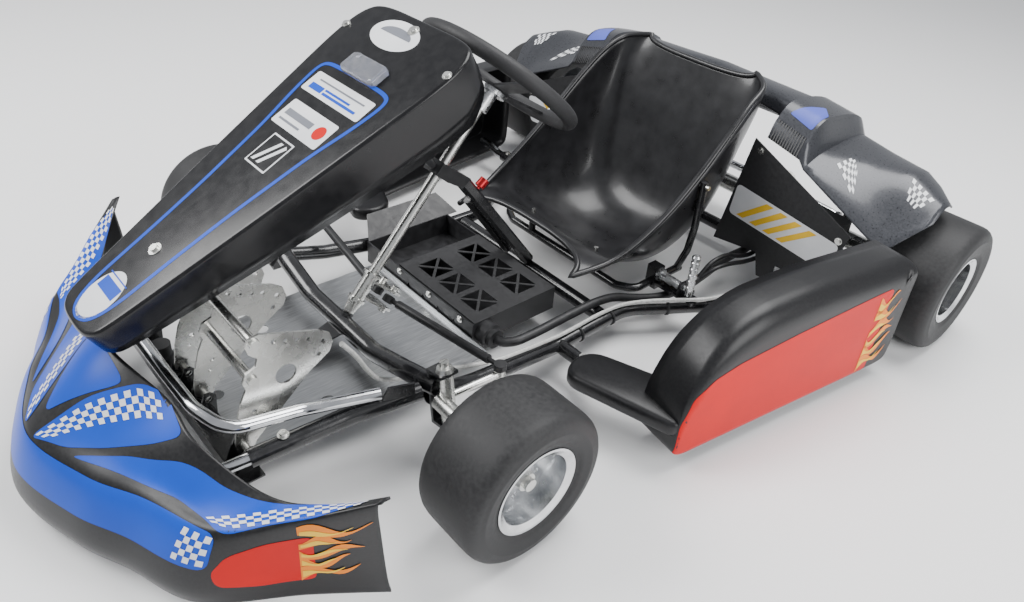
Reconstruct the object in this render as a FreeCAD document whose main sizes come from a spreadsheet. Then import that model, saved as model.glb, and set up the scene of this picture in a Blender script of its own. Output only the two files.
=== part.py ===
import FreeCAD, Part
import Sketcher
import math
import os
from FreeCAD import Placement, Rotation
from FreeCAD import Vector as V

# Electric slalom kart.  Millimetres, +Z up, the kart drives towards -Y and its left side is +X.
# The origin lies on the ground under the middle of the kart.

doc = FreeCAD.newDocument("slalom_kart")
sheet = doc.addObject("Spreadsheet::Sheet", "Dims")

DIMENSIONS = (
    ("front_axle_y", -315),
    ("rear_axle_y", 724),
    ("front_tyre_radius", 129),
    ("rear_tyre_radius", 140),
    ("front_tyre_width", 132),
    ("rear_tyre_width", 180),
    ("front_wheel_x", 464),
    ("rear_wheel_x", 588),
    ("bead_radius", 63.5),
    ("rim_lip_radius", 74),
    ("tyre_wall", 9),
    ("spindle_radius", 10),
    ("spindle_clearance", 0.05),
    ("axle_radius", 20),
    ("axle_wall", 4),
    ("axle_length", 1110),
    ("kingpin_x", 290),
    ("kingpin_y", -300),
    ("kingpin_z", 128),
    ("kingpin_radius", 5),
    ("kingpin_tilt", 10),
    ("main_tube_radius", 15),
    ("cross_tube_radius", 17),
    ("thin_tube_radius", 10),
    ("tube_wall", 2),
    ("main_bend", 110),
    ("rail_z", 60),
    ("column_angle", 40.4),
    ("column_radius", 10),
    ("column_wall", 2),
    ("column_length", 480),
    ("pitman_radius", 52),
    ("pitman_plate", 5),
    ("ring_radius", 151),
    ("grip_radius", 14),
    ("plate_thickness", 4),
    ("pedal_inner_x", 38),
    ("pedal_outer_x", 182),
    ("pedal_pivot_y", -592),
    ("pedal_pivot_z", 114),
    ("pedal_pin_radius", 6),
    ("pedal_rod_radius", 8),
    ("sheet_metal", 3),
    ("cover_sheet", 2),
    ("tray_top_z", 100),
    ("panel_slope", 29.3),
    ("panel_length", 690),
    ("panel_depth", 104),
    ("shell_wall", 4),
    ("pod_depth", 95),
    ("pod_height", 250),
    ("pod_length", 580),
    ("pod_toe", 9.3),
    ("seat_wall", 6),
    ("disc_radius", 85),
    ("disc_thickness", 8),
    ("pulley_radius", 84),
    ("motor_pulley_radius", 21),
    ("belt_thickness", 4),
    ("belt_width", 24),
    ("drive_x", -262),
    ("disc_x", 225),
    ("bearing_x", 379),
    ("motor_y", 636),
    ("motor_z", 240),
    ("motor_radius", 58),
    ("motor_shaft_radius", 8),
    ("cable_radius", 4),
    ("lever_radius", 8),
    ("seat_bar_radius", 9),
)


def fill_sheet():
    """One row for each driving dimension: its name, and its value under an alias."""
    for row, (alias, value) in enumerate(DIMENSIONS, start=1):
        sheet.set("A%d" % row, alias)
        sheet.set("B%d" % row, str(value))
        sheet.setAlias("B%d" % row, alias)
    doc.recompute()


fill_sheet()


def mm(size):
    """A number stays as it is; text is worked out from the sheet's cells."""
    if isinstance(size, str):
        return float(sheet.evalExpression(size))
    return float(size)


def point(x, y, z):
    return V(mm(x), mm(y), mm(z))


def at(x, y, z, rotation=Rotation()):
    return Placement(point(x, y, z), rotation)


def bind(thing, name, size):
    """Sets a property to a number, or binds it to the sheet where the size is text."""
    if isinstance(size, str):
        thing.setExpression(name, size)
    else:
        setattr(thing, name, size)


UPRIGHT = Rotation()
Z_TO_LEFT = Rotation(V(0, 1, 0), 90)
SIDE_PLANE = Rotation(V(0, 1, 0), V(0, 0, 1), V(1, 0, 0), "ZXY")

SUB_PARTS = []


def sub_part(thing, label):
    """Gives a finished object the name of its sub-part."""
    thing.Label = label
    SUB_PARTS.append(thing)
    return thing


# ---------------------------------------------------------------- sketches and bodies

def new_body(name, placement=Placement()):
    body = doc.addObject("PartDesign::Body", name)
    body.Placement = placement
    return body


def new_sketch(body, role="XY_Plane", offset=Placement()):
    sketch = body.newObject("Sketcher::SketchObject", "Sketch")
    origin_plane = [feature for feature in body.Origin.OriginFeatures if feature.Role == role][0]
    sketch.AttachmentSupport = [(origin_plane, "")]
    sketch.MapMode = "FlatFace"
    sketch.AttachmentOffset = offset
    return sketch


def outline(sketch, corners):
    """Closed outline of straight edges; a coordinate given as text is bound to the sheet."""
    first = sketch.GeometryCount
    count = len(corners)
    ends = [V(mm(x), mm(y), 0) for x, y in corners]
    for index in range(count):
        sketch.addGeometry(Part.LineSegment(ends[index], ends[(index + 1) % count]), False)
    for index in range(count):
        following = first + (index + 1) % count
        sketch.addConstraint(Sketcher.Constraint("Coincident", first + index, 2, following, 1))
    for index, (x, y) in enumerate(corners):
        for kind, size, value in (("DistanceX", x, ends[index].x), ("DistanceY", y, ends[index].y)):
            number = sketch.addConstraint(Sketcher.Constraint(kind, -1, 1, first + index, 1, value))
            if isinstance(size, str):
                sketch.setExpression("Constraints[%d]" % number, size)


def hole(sketch, x, y, radius):
    """A circle whose radius may be bound to the sheet."""
    index = sketch.GeometryCount
    sketch.addGeometry(Part.Circle(V(mm(x), mm(y), 0), V(0, 0, 1), mm(radius)), False)
    number = sketch.addConstraint(Sketcher.Constraint("Radius", index, mm(radius)))
    if isinstance(radius, str):
        sketch.setExpression("Constraints[%d]" % number, radius)


def pad(body, sketch, length, middle=False, back=False):
    feature = body.newObject("PartDesign::Pad", "Pad")
    feature.Profile = sketch
    bind(feature, "Length", length)
    feature.SideType = "Symmetric" if middle else "One side"
    feature.Reversed = back
    doc.recompute()
    return feature


def pocket(body, sketch, length, middle=False, back=False):
    before = body.Tip.Shape.Volume
    feature = body.newObject("PartDesign::Pocket", "Pocket")
    feature.Profile = sketch
    bind(feature, "Length", length)
    feature.SideType = "Symmetric" if middle else "One side"
    feature.Reversed = back
    doc.recompute()
    if feature.Shape.Volume > before - 0.5:
        raise RuntimeError("a pocket cut nothing in " + body.Name)
    return feature


def turn(body, sketch):
    feature = body.newObject("PartDesign::Revolution", "Revolution")
    feature.Profile = sketch
    feature.ReferenceAxis = (sketch, ["V_Axis"])
    feature.Angle = 360
    doc.recompute()
    return feature


def ring_pattern(body, feature, count):
    pattern = body.newObject("PartDesign::PolarPattern", "PolarPattern")
    pattern.Originals = [feature]
    z_axis = [item for item in body.Origin.OriginFeatures if item.Role == "Z_Axis"][0]
    pattern.Axis = (z_axis, [""])
    pattern.Angle = 360
    pattern.Occurrences = count
    body.Tip = pattern
    doc.recompute()
    return pattern


def soften(body, radius, chosen, kind="PartDesign::Fillet"):
    """Rounds the edges of the body's last feature that the test chooses."""
    base = body.Tip
    names = ["Edge%d" % (number + 1) for number, edge in enumerate(base.Shape.Edges) if chosen(edge)]
    feature = body.newObject(kind, "Rounding")
    feature.Base = (base, names)
    bind(feature, "Radius" if kind == "PartDesign::Fillet" else "Size", radius)
    doc.recompute()
    return feature


def turned_body(name, corners, placement):
    """A body of revolution about its own Z axis."""
    body = new_body(name, placement)
    sketch = new_sketch(body, "XZ_Plane")
    outline(sketch, corners)
    turn(body, sketch)
    return body


def turned(label, corners, placement):
    """A sub-part made on a lathe, from its half outline of (radius, height) corners."""
    return sub_part(turned_body(label, corners, placement), label)


def plate(name, corners, holes, thickness, placement, middle=True):
    """A flat piece cut from sheet, with round holes given as (x, y, radius)."""
    body = new_body(name, placement)
    sketch = new_sketch(body)
    outline(sketch, corners)
    for x, y, radius in holes:
        hole(sketch, x, y, radius)
    pad(body, sketch, thickness, middle)
    return body


# ---------------------------------------------------------------- primitives and booleans

def block(low, high):
    """A box between two corners; its sides may be bound to the sheet."""
    box = doc.addObject("Part::Box", "Box")
    box.Placement = Placement(point(*low), UPRIGHT)
    for name, start, end in zip(("Length", "Width", "Height"), low, high):
        if isinstance(start, str) or isinstance(end, str):
            box.setExpression(name, "(%s) - (%s)" % (end, start))
        else:
            setattr(box, name, end - start)
    return box


def rod(start, end, radius):
    """A round bar between two points."""
    bar = doc.addObject("Part::Cylinder", "Cylinder")
    bind(bar, "Radius", radius)
    bar.Height = start.distanceToPoint(end)
    bar.Placement = Placement(start, Rotation(V(0, 0, 1), end - start))
    return bar


def joined(pieces, label=None):
    fuse = doc.addObject("Part::MultiFuse", "Joined")
    fuse.Shapes = pieces
    doc.recompute()
    return sub_part(fuse, label) if label else fuse


def bored(piece, tool, label=None):
    cut = doc.addObject("Part::Cut", "Bored")
    cut.Base = piece
    cut.Tool = tool
    doc.recompute()
    return sub_part(cut, label) if label else cut


def group(pieces, label):
    """Separate solids that share one name, such as a set of screws."""
    together = doc.addObject("Part::Compound", "Group")
    together.Links = pieces
    doc.recompute()
    return sub_part(together, label)


def mirrored(piece, label=None):
    """The same piece on the kart's other side."""
    image = doc.addObject("Part::Mirroring", "Mirrored")
    image.Source = piece
    image.Normal = V(1, 0, 0)
    doc.recompute()
    return sub_part(image, label) if label else image


def freeform(label, shape):
    """A shape that neither a sketched feature nor a primitive makes."""
    thing = doc.addObject("Part::Feature", label)
    thing.Shape = shape
    thing.Placement = Placement()
    return sub_part(thing, label)


# ---------------------------------------------------------------- bent tubes and cables

def bent_path(points, bend):
    """Straight runs joined by tangent arcs of the bend radius, or less where a run is short."""
    edges = []
    start = points[0]
    for index in range(1, len(points) - 1):
        corner = points[index]
        before = corner - points[index - 1]
        after = points[index + 1] - corner
        half_turn = before.getAngle(after) / 2
        if half_turn < 0.001:
            continue
        reach = min(mm(bend) * math.tan(half_turn), 0.45 * min(before.Length, after.Length))
        before.normalize()
        after.normalize()
        arc_start = corner - before * reach
        arc_end = corner + after * reach
        radius = reach / math.tan(half_turn)
        inward = (after - before).normalize()
        arc_middle = corner + inward * (radius / math.cos(half_turn) - radius)
        edges.append(Part.LineSegment(start, arc_start).toShape())
        edges.append(Part.Arc(arc_start, arc_middle, arc_end).toShape())
        start = arc_end
    edges.append(Part.LineSegment(start, points[-1]).toShape())
    path = doc.addObject("Part::Feature", "Path")
    path.Shape = Part.Wire(edges)
    arcs = [edge.Curve.Radius for edge in edges if hasattr(edge.Curve, "Radius")]
    path.Label = "Path with smallest bend %.0f" % (min(arcs) if arcs else 0)
    return path


def swept(path, radius):
    """A round bar along a path."""
    start_edge = path.Shape.Edges[0]
    ring = doc.addObject("Part::Circle", "Section")
    bind(ring, "Radius", radius)
    along = start_edge.tangentAt(start_edge.FirstParameter)
    ring.Placement = Placement(path.Shape.OrderedVertexes[0].Point, Rotation(V(0, 0, 1), along))
    sweep = doc.addObject("Part::Sweep", "Sweep")
    sweep.Sections = [ring]
    sweep.Spine = (path, ["Edge%d" % (number + 1) for number in range(len(path.Shape.Edges))])
    sweep.Solid = True
    sweep.Frenet = False
    doc.recompute()
    return sweep


def bent_bar(points, radius, bend):
    return swept(bent_path([point(*place) for place in points], bend), radius)


def bent_tube(points, radius, wall, bend):
    """A hollow tube along straight runs and bends."""
    path = bent_path([point(*place) for place in points], bend)
    outside = swept(path, radius)
    inside = swept(path, "%s - %s" % (radius, wall))
    return bored(outside, inside)


def mirror_points(points):
    """The other half of a path that runs from one side to the other."""
    return [(-x, y, z) for x, y, z in reversed(points)]


# ---------------------------------------------------------------- chassis tubes

def frame_rails():
    """Side rails from the stub-axle yokes, down to floor height and out around the seat."""
    rail = bent_tube(
        ((257, -312, 116), (251, -212, 90), (240, -10, "Dims.rail_z"), (236, 196, "Dims.rail_z"),
         (332, 352, "Dims.rail_z"), (379, 520, "Dims.rail_z"), (379, 800, "Dims.rail_z")),
        "Dims.main_tube_radius", "Dims.tube_wall", "Dims.main_bend")
    sub_part(rail, "left_frame_rail")
    mirrored(rail, "right_frame_rail")


def cross_tubes():
    """Tubes across the frame; the front one dips in the middle to carry the column foot."""
    left = ((272, -306, 143), (205, -318, 136), (105, -320, 110))
    tube = bent_tube(left + tuple(mirror_points(left)), "Dims.cross_tube_radius", "Dims.tube_wall", 90)
    sub_part(tube, "front_cross_tube")
    middle = bent_tube(((-222, 140, "Dims.rail_z"), (222, 140, "Dims.rail_z")),
                       "Dims.main_tube_radius", "Dims.tube_wall", 0)
    rear = bent_tube(((-364, 655, "Dims.rail_z"), (364, 655, "Dims.rail_z")),
                     "Dims.main_tube_radius", "Dims.tube_wall", 0)
    group([middle, rear], "cross_tubes")


def front_rails():
    """Tubes that run forward from the front cross tube to the nose."""
    rail = bent_tube(((262, -333, 141), (234, -450, 132), (213, -600, 119)),
                     "Dims.main_tube_radius", "Dims.tube_wall", 120)
    group([rail, mirrored(rail)], "front_rails")


def bumper_bars():
    """Plated loops: one over the pedals, bolted to the front rails, and one behind the rear wheels."""
    left = ((250, -400, 163), (212, -515, 165), (207, -622, 184), (150, -645, 196), (60, -648, 200))
    front = bent_bar(left + tuple(mirror_points(left)), "Dims.thin_tube_radius", 60)
    end = ((379, 790, "Dims.rail_z"), (374, 842, 66), (330, 844, 120), (200, 844, 128))
    rear = bent_bar(end + tuple(mirror_points(end)), "Dims.thin_tube_radius", 30)
    group([front, rear], "bumper_bars")


def carrying_tubes():
    """Plated tubes in the frame's sleeves, which carry the nose and the side bumpers."""
    nose = bent_bar(((213.5, -597, 119.3), (207, -640, 116), (180, -668, 112), (150, -676, 112)),
                    "Dims.thin_tube_radius", 30)
    front = bent_bar(((322, 5, 60), (350, 5, 60), (376, -8, 63), (404, -12, 65)), "Dims.thin_tube_radius", 40)
    rear = bent_bar(((438, 452, 60), (466, 452, 60), (504, 452, 70), (538, 452, 72)),
                    "Dims.thin_tube_radius", 40)
    tubes = [nose, front, rear]
    group(tubes + [mirrored(tube) for tube in tubes], "carrying_tubes")


def frame_brackets():
    """Ears, sleeves, stays and axle hangers welded to the frame."""
    ear = plate("ear", ((-26, -14), (26, -14), (26, 10), (-16, 10)), ((10, 0, 4),), "Dims.plate_thickness",
                at(262, -375, 164, Rotation(V(0, 0, 1), 70) * Rotation(V(1, 0, 0), 90)))
    front_sleeve = rod(V(244, 5, 60), V(330, 5, 60), "Dims.main_tube_radius - 1")
    front_sleeve = bored(front_sleeve, rod(V(300, 5, 60), V(340, 5, 60), "Dims.thin_tube_radius"))
    rear_sleeve = rod(V(366, 452, 60), V(446, 452, 60), "Dims.main_tube_radius - 1")
    rear_sleeve = bored(rear_sleeve, rod(V(410, 452, 60), V(460, 452, 60), "Dims.thin_tube_radius"))
    hanger = plate("hanger", ((-60, -68), (60, -68), (44, 18), (18, 44), (-18, 44), (-44, 18)), ((0, 0, 36),),
                   10,
                   at("Dims.bearing_x", "Dims.rear_axle_y", "Dims.rear_tyre_radius", SIDE_PLANE))
    stay = rod(V(379, 786, 73), V(379, 786, 341), 8)
    pair = [ear, front_sleeve, rear_sleeve, hanger, stay]
    foot = block((222, 304, 70), (322, 336, 76))
    cheek = block((283, 304, 76), (289, 334, 106))
    clamp = block((194, 310, 54), (222, 334, 106))
    lever_hole = rod(V(230, 318, 92), V(300, 318, 92), "Dims.lever_radius + 0.05")
    lever_bracket = bored(joined([foot, cheek, clamp]), lever_hole)
    lever_bracket = bored(lever_bracket, rod(V(206, 290, 66), V(206, 350, 66), "Dims.seat_bar_radius + 0.05"))
    motor_plate = plate("motor_plate", ((-50, -176), (50, -176), (54, 0), (30, 44), (-30, 44), (-50, 20)),
                        ((0, 0, 16),), 5, at("Dims.drive_x - 18.5", "Dims.motor_y", "Dims.motor_z", SIDE_PLANE))
    foot_plate = plate("foot_plate", ((-13, -86), (13, -86), (26, 14), (-26, 14)), ((0, -74, 4),), 4,
                       at(0, -322, 106, Rotation(V(1, 0, 0), 14)))
    cup = rod(on_column(-8), on_column(11.5), 12)
    column_foot = joined([foot_plate, cup])
    group(pair + [mirrored(one) for one in pair] + [lever_bracket, motor_plate, column_foot], "frame_brackets")


def front_channel():
    """Folded channel across the front that carries the pedal pins."""
    body = new_body("channel", at(0, "Dims.pedal_pivot_y - 34", 78, SIDE_PLANE))
    sketch = new_sketch(body)
    wall = mm("Dims.sheet_metal")
    outline(sketch, ((0, 0), (44, 0), (44, wall), (wall, wall), (wall, 24), (0, 24)))
    pad(body, sketch, 440, middle=True)
    pieces = [body]
    for x in (20, 56, 164, 200):
        for side in (x, -x):
            ear = plate("pivot_ear", ((-26, -33), (10, -33), (12, 4), (4, 12), (-6, 12)),
                        ((0, 0, "Dims.pedal_pin_radius + 0.05"),), "Dims.sheet_metal",
                        at(side, "Dims.pedal_pivot_y", "Dims.pedal_pivot_z", SIDE_PLANE))
            pieces.append(ear)
    joined(pieces, "front_channel")


def yokes():
    """C-shaped brackets at the ends of the front cross tube, which hold the kingpins."""
    tilt = Rotation(V(0, 1, 0), -mm("Dims.kingpin_tilt"))
    place = at("Dims.kingpin_x", "Dims.kingpin_y", "Dims.kingpin_z", tilt)
    body = new_body("yoke", place)
    sketch = new_sketch(body, "XZ_Plane")
    outline(sketch, ((-27, -52), (12, -52), (12, -46), (-21, -46), (-21, 46), (12, 46), (12, 52), (-27, 52)))
    pad(body, sketch, 34, middle=True)
    bore = new_sketch(body)
    hole(bore, 0, 0, "Dims.kingpin_radius")
    pocket(body, bore, 120, middle=True)
    group([body, mirrored(body)], "steering_yokes")


def pivot_pins():
    """Kingpins with eccentric washer and nut, and the pins that the pedals turn on."""
    tilt = Rotation(V(0, 1, 0), -mm("Dims.kingpin_tilt"))
    body = turned_body("kingpin", (
        (0, -60), (8, -60), (8, -52), ("Dims.kingpin_radius", -52), ("Dims.kingpin_radius", 52), (15, 52),
        (13, 59), (8, 59), (8, 70), (0, 70)), at("Dims.kingpin_x", "Dims.kingpin_y", "Dims.kingpin_z", tilt))
    pins = [body, mirrored(body)]
    for x in ("Dims.pedal_inner_x", "Dims.pedal_outer_x", "-Dims.pedal_inner_x", "-Dims.pedal_outer_x"):
        middle = point(x, "Dims.pedal_pivot_y", "Dims.pedal_pivot_z")
        pins.append(rod(middle - V(15, 0, 0), middle + V(15, 0, 0), "Dims.pedal_pin_radius"))
    group(pins, "pivot_pins")


# ---------------------------------------------------------------- wheels

def opposite(corners):
    """The mirror image of half an outline of (radius, height) corners, in the opposite order."""
    return tuple((radius, "-(%s)" % height) for radius, height in reversed(corners))


def tyre(name, end, placement):
    """Slick tyre: a hollow carcass with rounded shoulders whose beads sit on the rim."""
    radius = "Dims.%s_tyre_radius" % end
    half = "Dims.%s_tyre_width / 2" % end
    bead = "Dims.bead_radius"
    outer = ((bead, half + " - 18"), (bead + " + 5", half + " - 13"), (bead + " + 18", half + " - 5"),
             (radius + " - 26", half), (radius + " - 9", half + " - 5"), (radius, half + " - 20"))
    inner = ((radius + " - Dims.tyre_wall", half + " - 26"), (radius + " - 26", half + " - Dims.tyre_wall"),
             (bead + " + 22", half + " - 15"), (bead, half + " - 28"))
    body = new_body(name, placement)
    sketch = new_sketch(body, "XZ_Plane")
    outline(sketch, outer + opposite(outer) + opposite(inner) + inner)
    turn(body, sketch)
    shoulder = mm(radius) - 10
    soften(body, 12, lambda edge: edge.Length > 2 * math.pi * shoulder)
    return body


def rim(name, end, bore, disc_height, hub, placement):
    """Aluminium rim: barrel with two lips, and a pierced disc around the hub's bore."""
    half = "Dims.%s_tyre_width / 2" % end
    lip = "Dims.rim_lip_radius"
    bead = "Dims.bead_radius"
    hub_radius, hub_inner, hub_outer = hub
    outer = ((bead, half + " - 18.5"), (bead + " + 3", half + " - 12.5"), (lip, half + " - 10"),
             (lip, half + " - 7"),
             (lip + " - 4", half + " - 7"), (bead + " - 3", half + " - 12"))
    disc = ((bead + " - 3", disc_height + 6), (hub_radius, disc_height + 6), (hub_radius, hub_outer),
            (bore, hub_outer), (bore, hub_inner), (hub_radius, hub_inner), (hub_radius, disc_height),
            (bead + " - 3", disc_height))
    body = turned_body(name, outer + disc + opposite(outer), placement)
    holes = new_sketch(body)
    hole(holes, 48, 0, 5)
    first = pocket(body, holes, 200, middle=True)
    ring_pattern(body, first, 6)
    return body


def front_wheels():
    """Front rims run on bearings on the stub axles."""
    place = at("Dims.front_wheel_x", "Dims.front_axle_y", "Dims.front_tyre_radius", Z_TO_LEFT)
    bore = "Dims.spindle_radius + Dims.spindle_clearance"
    left_rim = rim("front_rim", "front", bore, 6, (24, -38, 24), place)
    left_tyre = tyre("front_tyre", "front", place)
    sub_part(left_rim, "left_front_rim")
    sub_part(left_tyre, "left_front_tyre")
    mirrored(left_rim, "right_front_rim")
    mirrored(left_tyre, "right_front_tyre")


def rear_wheels():
    """Rear rims are bolted to hubs on the live axle, which also carries the disc and the pulley."""
    place = at("Dims.rear_wheel_x", "Dims.rear_axle_y", "Dims.rear_tyre_radius", Z_TO_LEFT)
    one_rim = rim("rear_rim", "rear", "Dims.axle_radius + 5", -12, (36, -18, 0), place)
    one_tyre = tyre("rear_tyre", "rear", place)
    group([one_rim, mirrored(one_rim)], "rear_rims")
    group([one_tyre, mirrored(one_tyre)], "rear_tyres")
    hub = turned_body("rear_hub", (
        ("Dims.axle_radius", -80), (30, -80), (30, -26), (46, -26), (46, -18), ("Dims.axle_radius + 5", -18),
        ("Dims.axle_radius + 5", 8), ("Dims.axle_radius", 8)), place)
    half = "Dims.axle_length / 2"
    inside = "Dims.axle_radius - Dims.axle_wall"
    bar = turned_body("axle_tube", (
        (inside, "-" + half), ("Dims.axle_radius", "-" + half), ("Dims.axle_radius", half), (inside, half)),
        at(0, "Dims.rear_axle_y", "Dims.rear_tyre_radius", Z_TO_LEFT))
    group([bar, hub, mirrored(hub)], "rear_axle")


def axle_place(x):
    return at(x, "Dims.rear_axle_y", "Dims.rear_tyre_radius", Z_TO_LEFT)


def axle_fittings():
    """Bearings in the frame's hangers, and the brake disc and belt pulley clamped to the axle."""
    bearing = turned_body("bearing", (("Dims.axle_radius + 0.05", -9), ("Dims.axle_radius + 16", -9),
                                      ("Dims.axle_radius + 16", 9), ("Dims.axle_radius + 0.05", 9)),
                          axle_place("Dims.bearing_x"))
    group([bearing, mirrored(bearing)], "axle_bearings")
    half_disc = "Dims.disc_thickness / 2"
    disc = turned_body("disc", (("Dims.axle_radius", -22), (32, -22), (32, "-" + half_disc),
                                ("Dims.disc_radius", "-" + half_disc), ("Dims.disc_radius", half_disc),
                                (32, half_disc), ("Dims.axle_radius", half_disc)), axle_place("Dims.disc_x"))
    vents = new_sketch(disc)
    hole(vents, 66, 0, 6)
    ring_pattern(disc, pocket(disc, vents, 60, middle=True), 10)
    sub_part(disc, "brake_disc")
    half_belt = "Dims.belt_width / 2"
    turned("axle_pulley", (("Dims.axle_radius", -20), (34, -20), (34, "-" + half_belt),
                           ("Dims.pulley_radius", "-" + half_belt), ("Dims.pulley_radius", half_belt),
                           (34, half_belt), ("Dims.axle_radius", half_belt)), axle_place("Dims.drive_x"))


def brake_caliper():
    """Caliper that straddles the front edge of the disc, on an arm from the rear cross tube."""
    x = mm("Dims.disc_x")
    gap = mm("Dims.disc_thickness") / 2 + 1
    whole = block((x - 24, 622, 128), (x + 24, 676, 188))
    slot = block((x - gap, 632, 120), (x + gap, 690, 200))
    arm = block((x - 24, 634, 72), (x - 14, 662, 128))
    joined([bored(whole, slot), arm], "brake_caliper")


def drive():
    """Motor, its pulley and shaft, and the belt to the axle."""
    motor = turned_body("motor", (
        (0, 0), (50, 0), ("Dims.motor_radius", 10), ("Dims.motor_radius", 102), (50, 113),
        ("Dims.motor_shaft_radius + 0.05", 113), ("Dims.motor_shaft_radius + 0.05", 60), (0, 60)),
        at("Dims.drive_x - 134", "Dims.motor_y", "Dims.motor_z", Z_TO_LEFT))
    sub_part(motor, "drive_motor")
    half_belt = "Dims.belt_width / 2"
    turned("motor_pulley", ((0, -58), ("Dims.motor_shaft_radius", -58),
                            ("Dims.motor_shaft_radius", "-" + half_belt),
                            ("Dims.motor_pulley_radius", "-" + half_belt), ("Dims.motor_pulley_radius", half_belt),
                            (0, half_belt)), at("Dims.drive_x", "Dims.motor_y", "Dims.motor_z", Z_TO_LEFT))
    centres = (point("Dims.drive_x - Dims.belt_width / 2", "Dims.rear_axle_y", "Dims.rear_tyre_radius"),
               point("Dims.drive_x - Dims.belt_width / 2", "Dims.motor_y", "Dims.motor_z"))
    radii = (mm("Dims.pulley_radius"), mm("Dims.motor_pulley_radius"))
    solids = []
    for extra in (mm("Dims.belt_thickness") + 0.3, 0.3):
        solids.append(belt_prism(centres, [radius + extra for radius in radii], mm("Dims.belt_width")))
    freeform("drive_belt", solids[0].cut(solids[1]))


def belt_prism(centres, radii, width):
    """The solid inside a belt line round two circles that stand across the kart."""
    across = V(1, 0, 0)
    span = centres[1] - centres[0]
    lean = math.acos((radii[0] - radii[1]) / span.Length)
    towards = V(span).normalize()
    tangents = []
    for sign in (1, -1):
        normal = Rotation(across, math.degrees(sign * lean)).multVec(towards)
        tangents.append((centres[0] + normal * radii[0], centres[1] + normal * radii[1]))
    (big_a, small_a), (big_b, small_b) = tangents
    edges = [Part.LineSegment(big_a, small_a).toShape(),
             Part.Arc(small_a, centres[1] + towards * radii[1], small_b).toShape(),
             Part.LineSegment(small_b, big_b).toShape(),
             Part.Arc(big_b, centres[0] - towards * radii[0], big_a).toShape()]
    return Part.Face(Part.Wire(edges)).extrude(across * width)


# ---------------------------------------------------------------- front suspension and steering

def knuckles():
    """Stub axles: a boss on the kingpin, the spindle, its nut and the arm that steers it."""
    tilt = Rotation(V(0, 1, 0), -mm("Dims.kingpin_tilt"))
    pin = point("Dims.kingpin_x", "Dims.kingpin_y", "Dims.kingpin_z")
    up = tilt.multVec(V(0, 0, 1))
    boss = rod(pin - up * 45.5, pin + up * 45.5, 13)
    axle = point("Dims.kingpin_x", "Dims.front_axle_y", "Dims.front_tyre_radius")
    wheel_x = mm("Dims.front_wheel_x")
    collar = rod(V(axle.x - 3, axle.y, axle.z), V(wheel_x - 38.5, axle.y, axle.z), 14)
    spindle = rod(V(axle.x + 20, axle.y, axle.z), V(wheel_x + 44, axle.y, axle.z), "Dims.spindle_radius")
    nut = rod(V(wheel_x + 24.5, axle.y, axle.z), V(wheel_x + 36, axle.y, axle.z), 15)
    arm = rod(pin + V(2, 5, 5), V(pin.x + 7, -197, 132), 6.5)
    eye = rod(V(pin.x + 7, -196, 124), V(pin.x + 7, -196, 140), 10)
    solid = joined([boss, collar, spindle, nut, arm, eye])
    knuckle = bored(solid, rod(pin - up * 60, pin + up * 60, "Dims.kingpin_radius + Dims.spindle_clearance"))
    sub_part(knuckle, "left_knuckle")
    mirrored(knuckle, "right_knuckle")


COLUMN_TURN = Rotation(V(1, 0, 0), -mm("Dims.column_angle"))
COLUMN_FOOT = V(0, -314, 117)


def on_column(along, right=0, across=0):
    """A point at a distance along the steering column, and beside it."""
    return COLUMN_FOOT + COLUMN_TURN.multVec(V(right, across, along))


def along_column(distance, turn_about=0):
    return Placement(on_column(distance), COLUMN_TURN * Rotation(V(0, 0, 1), turn_about))


PITMAN_HEIGHT = 67.5
POST_TOP = V(0, -52, 322)
POST_FOOT = V(0, 136, 80)


def steering_column():
    """Plated column tube with its lower sleeve, collars and the two pitman plates."""
    shaft = turned_body("column_tube", (
        (0, 12), (8, 12), ("Dims.column_radius", 14), (14, 38), (17, 38), (17, 44), (13, 44), (13, 92), (17, 92),
        (17, 98), (13, 98), ("Dims.column_radius", 99), ("Dims.column_radius", "Dims.column_length"),
        ("Dims.column_radius - Dims.column_wall", "Dims.column_length"),
        ("Dims.column_radius - Dims.column_wall", 110), (0, 110)), along_column(0))
    pieces = [shaft]
    reach = "Dims.pitman_radius"
    for height in (PITMAN_HEIGHT - 17, PITMAN_HEIGHT + 17):
        pieces.append(plate("pitman_plate", ((-9, 0), (9, 0), (30, reach + " - 6"), (30, reach + " + 8"),
                                             (-30, reach + " + 8"), (-30, reach + " - 6")), (),
                            "Dims.pitman_plate", along_column(height)))
        outward = 1 if height > PITMAN_HEIGHT else -1
        for side in (18, -18):
            head = on_column(height + outward * 2, side, mm(reach))
            pieces.append(rod(head, head + COLUMN_TURN.multVec(V(0, 0, outward * 8)), 7))
    joined(pieces, "steering_column")


def tie_rods():
    """Track rods with a rod end at each knuckle and at the pitman plates."""
    outer = V(mm("Dims.kingpin_x") + 7, -196, 147)
    inner = on_column(PITMAN_HEIGHT, 18, mm("Dims.pitman_radius"))
    way = (outer - inner).normalize()
    inner_axis = COLUMN_TURN.multVec(V(0, 0, 1))
    pieces = [rod(inner + way * 26, outer - way * 26, 8), rod(inner + way * 6, outer - way * 6, 4.5),
              rod(inner - inner_axis * 6, inner + inner_axis * 6, 11),
               rod(outer - V(0, 0, 6), outer + V(0, 0, 6), 11)]
    one = joined(pieces)
    sub_part(one, "left_tie_rod")
    mirrored(one, "right_tie_rod")


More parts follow.
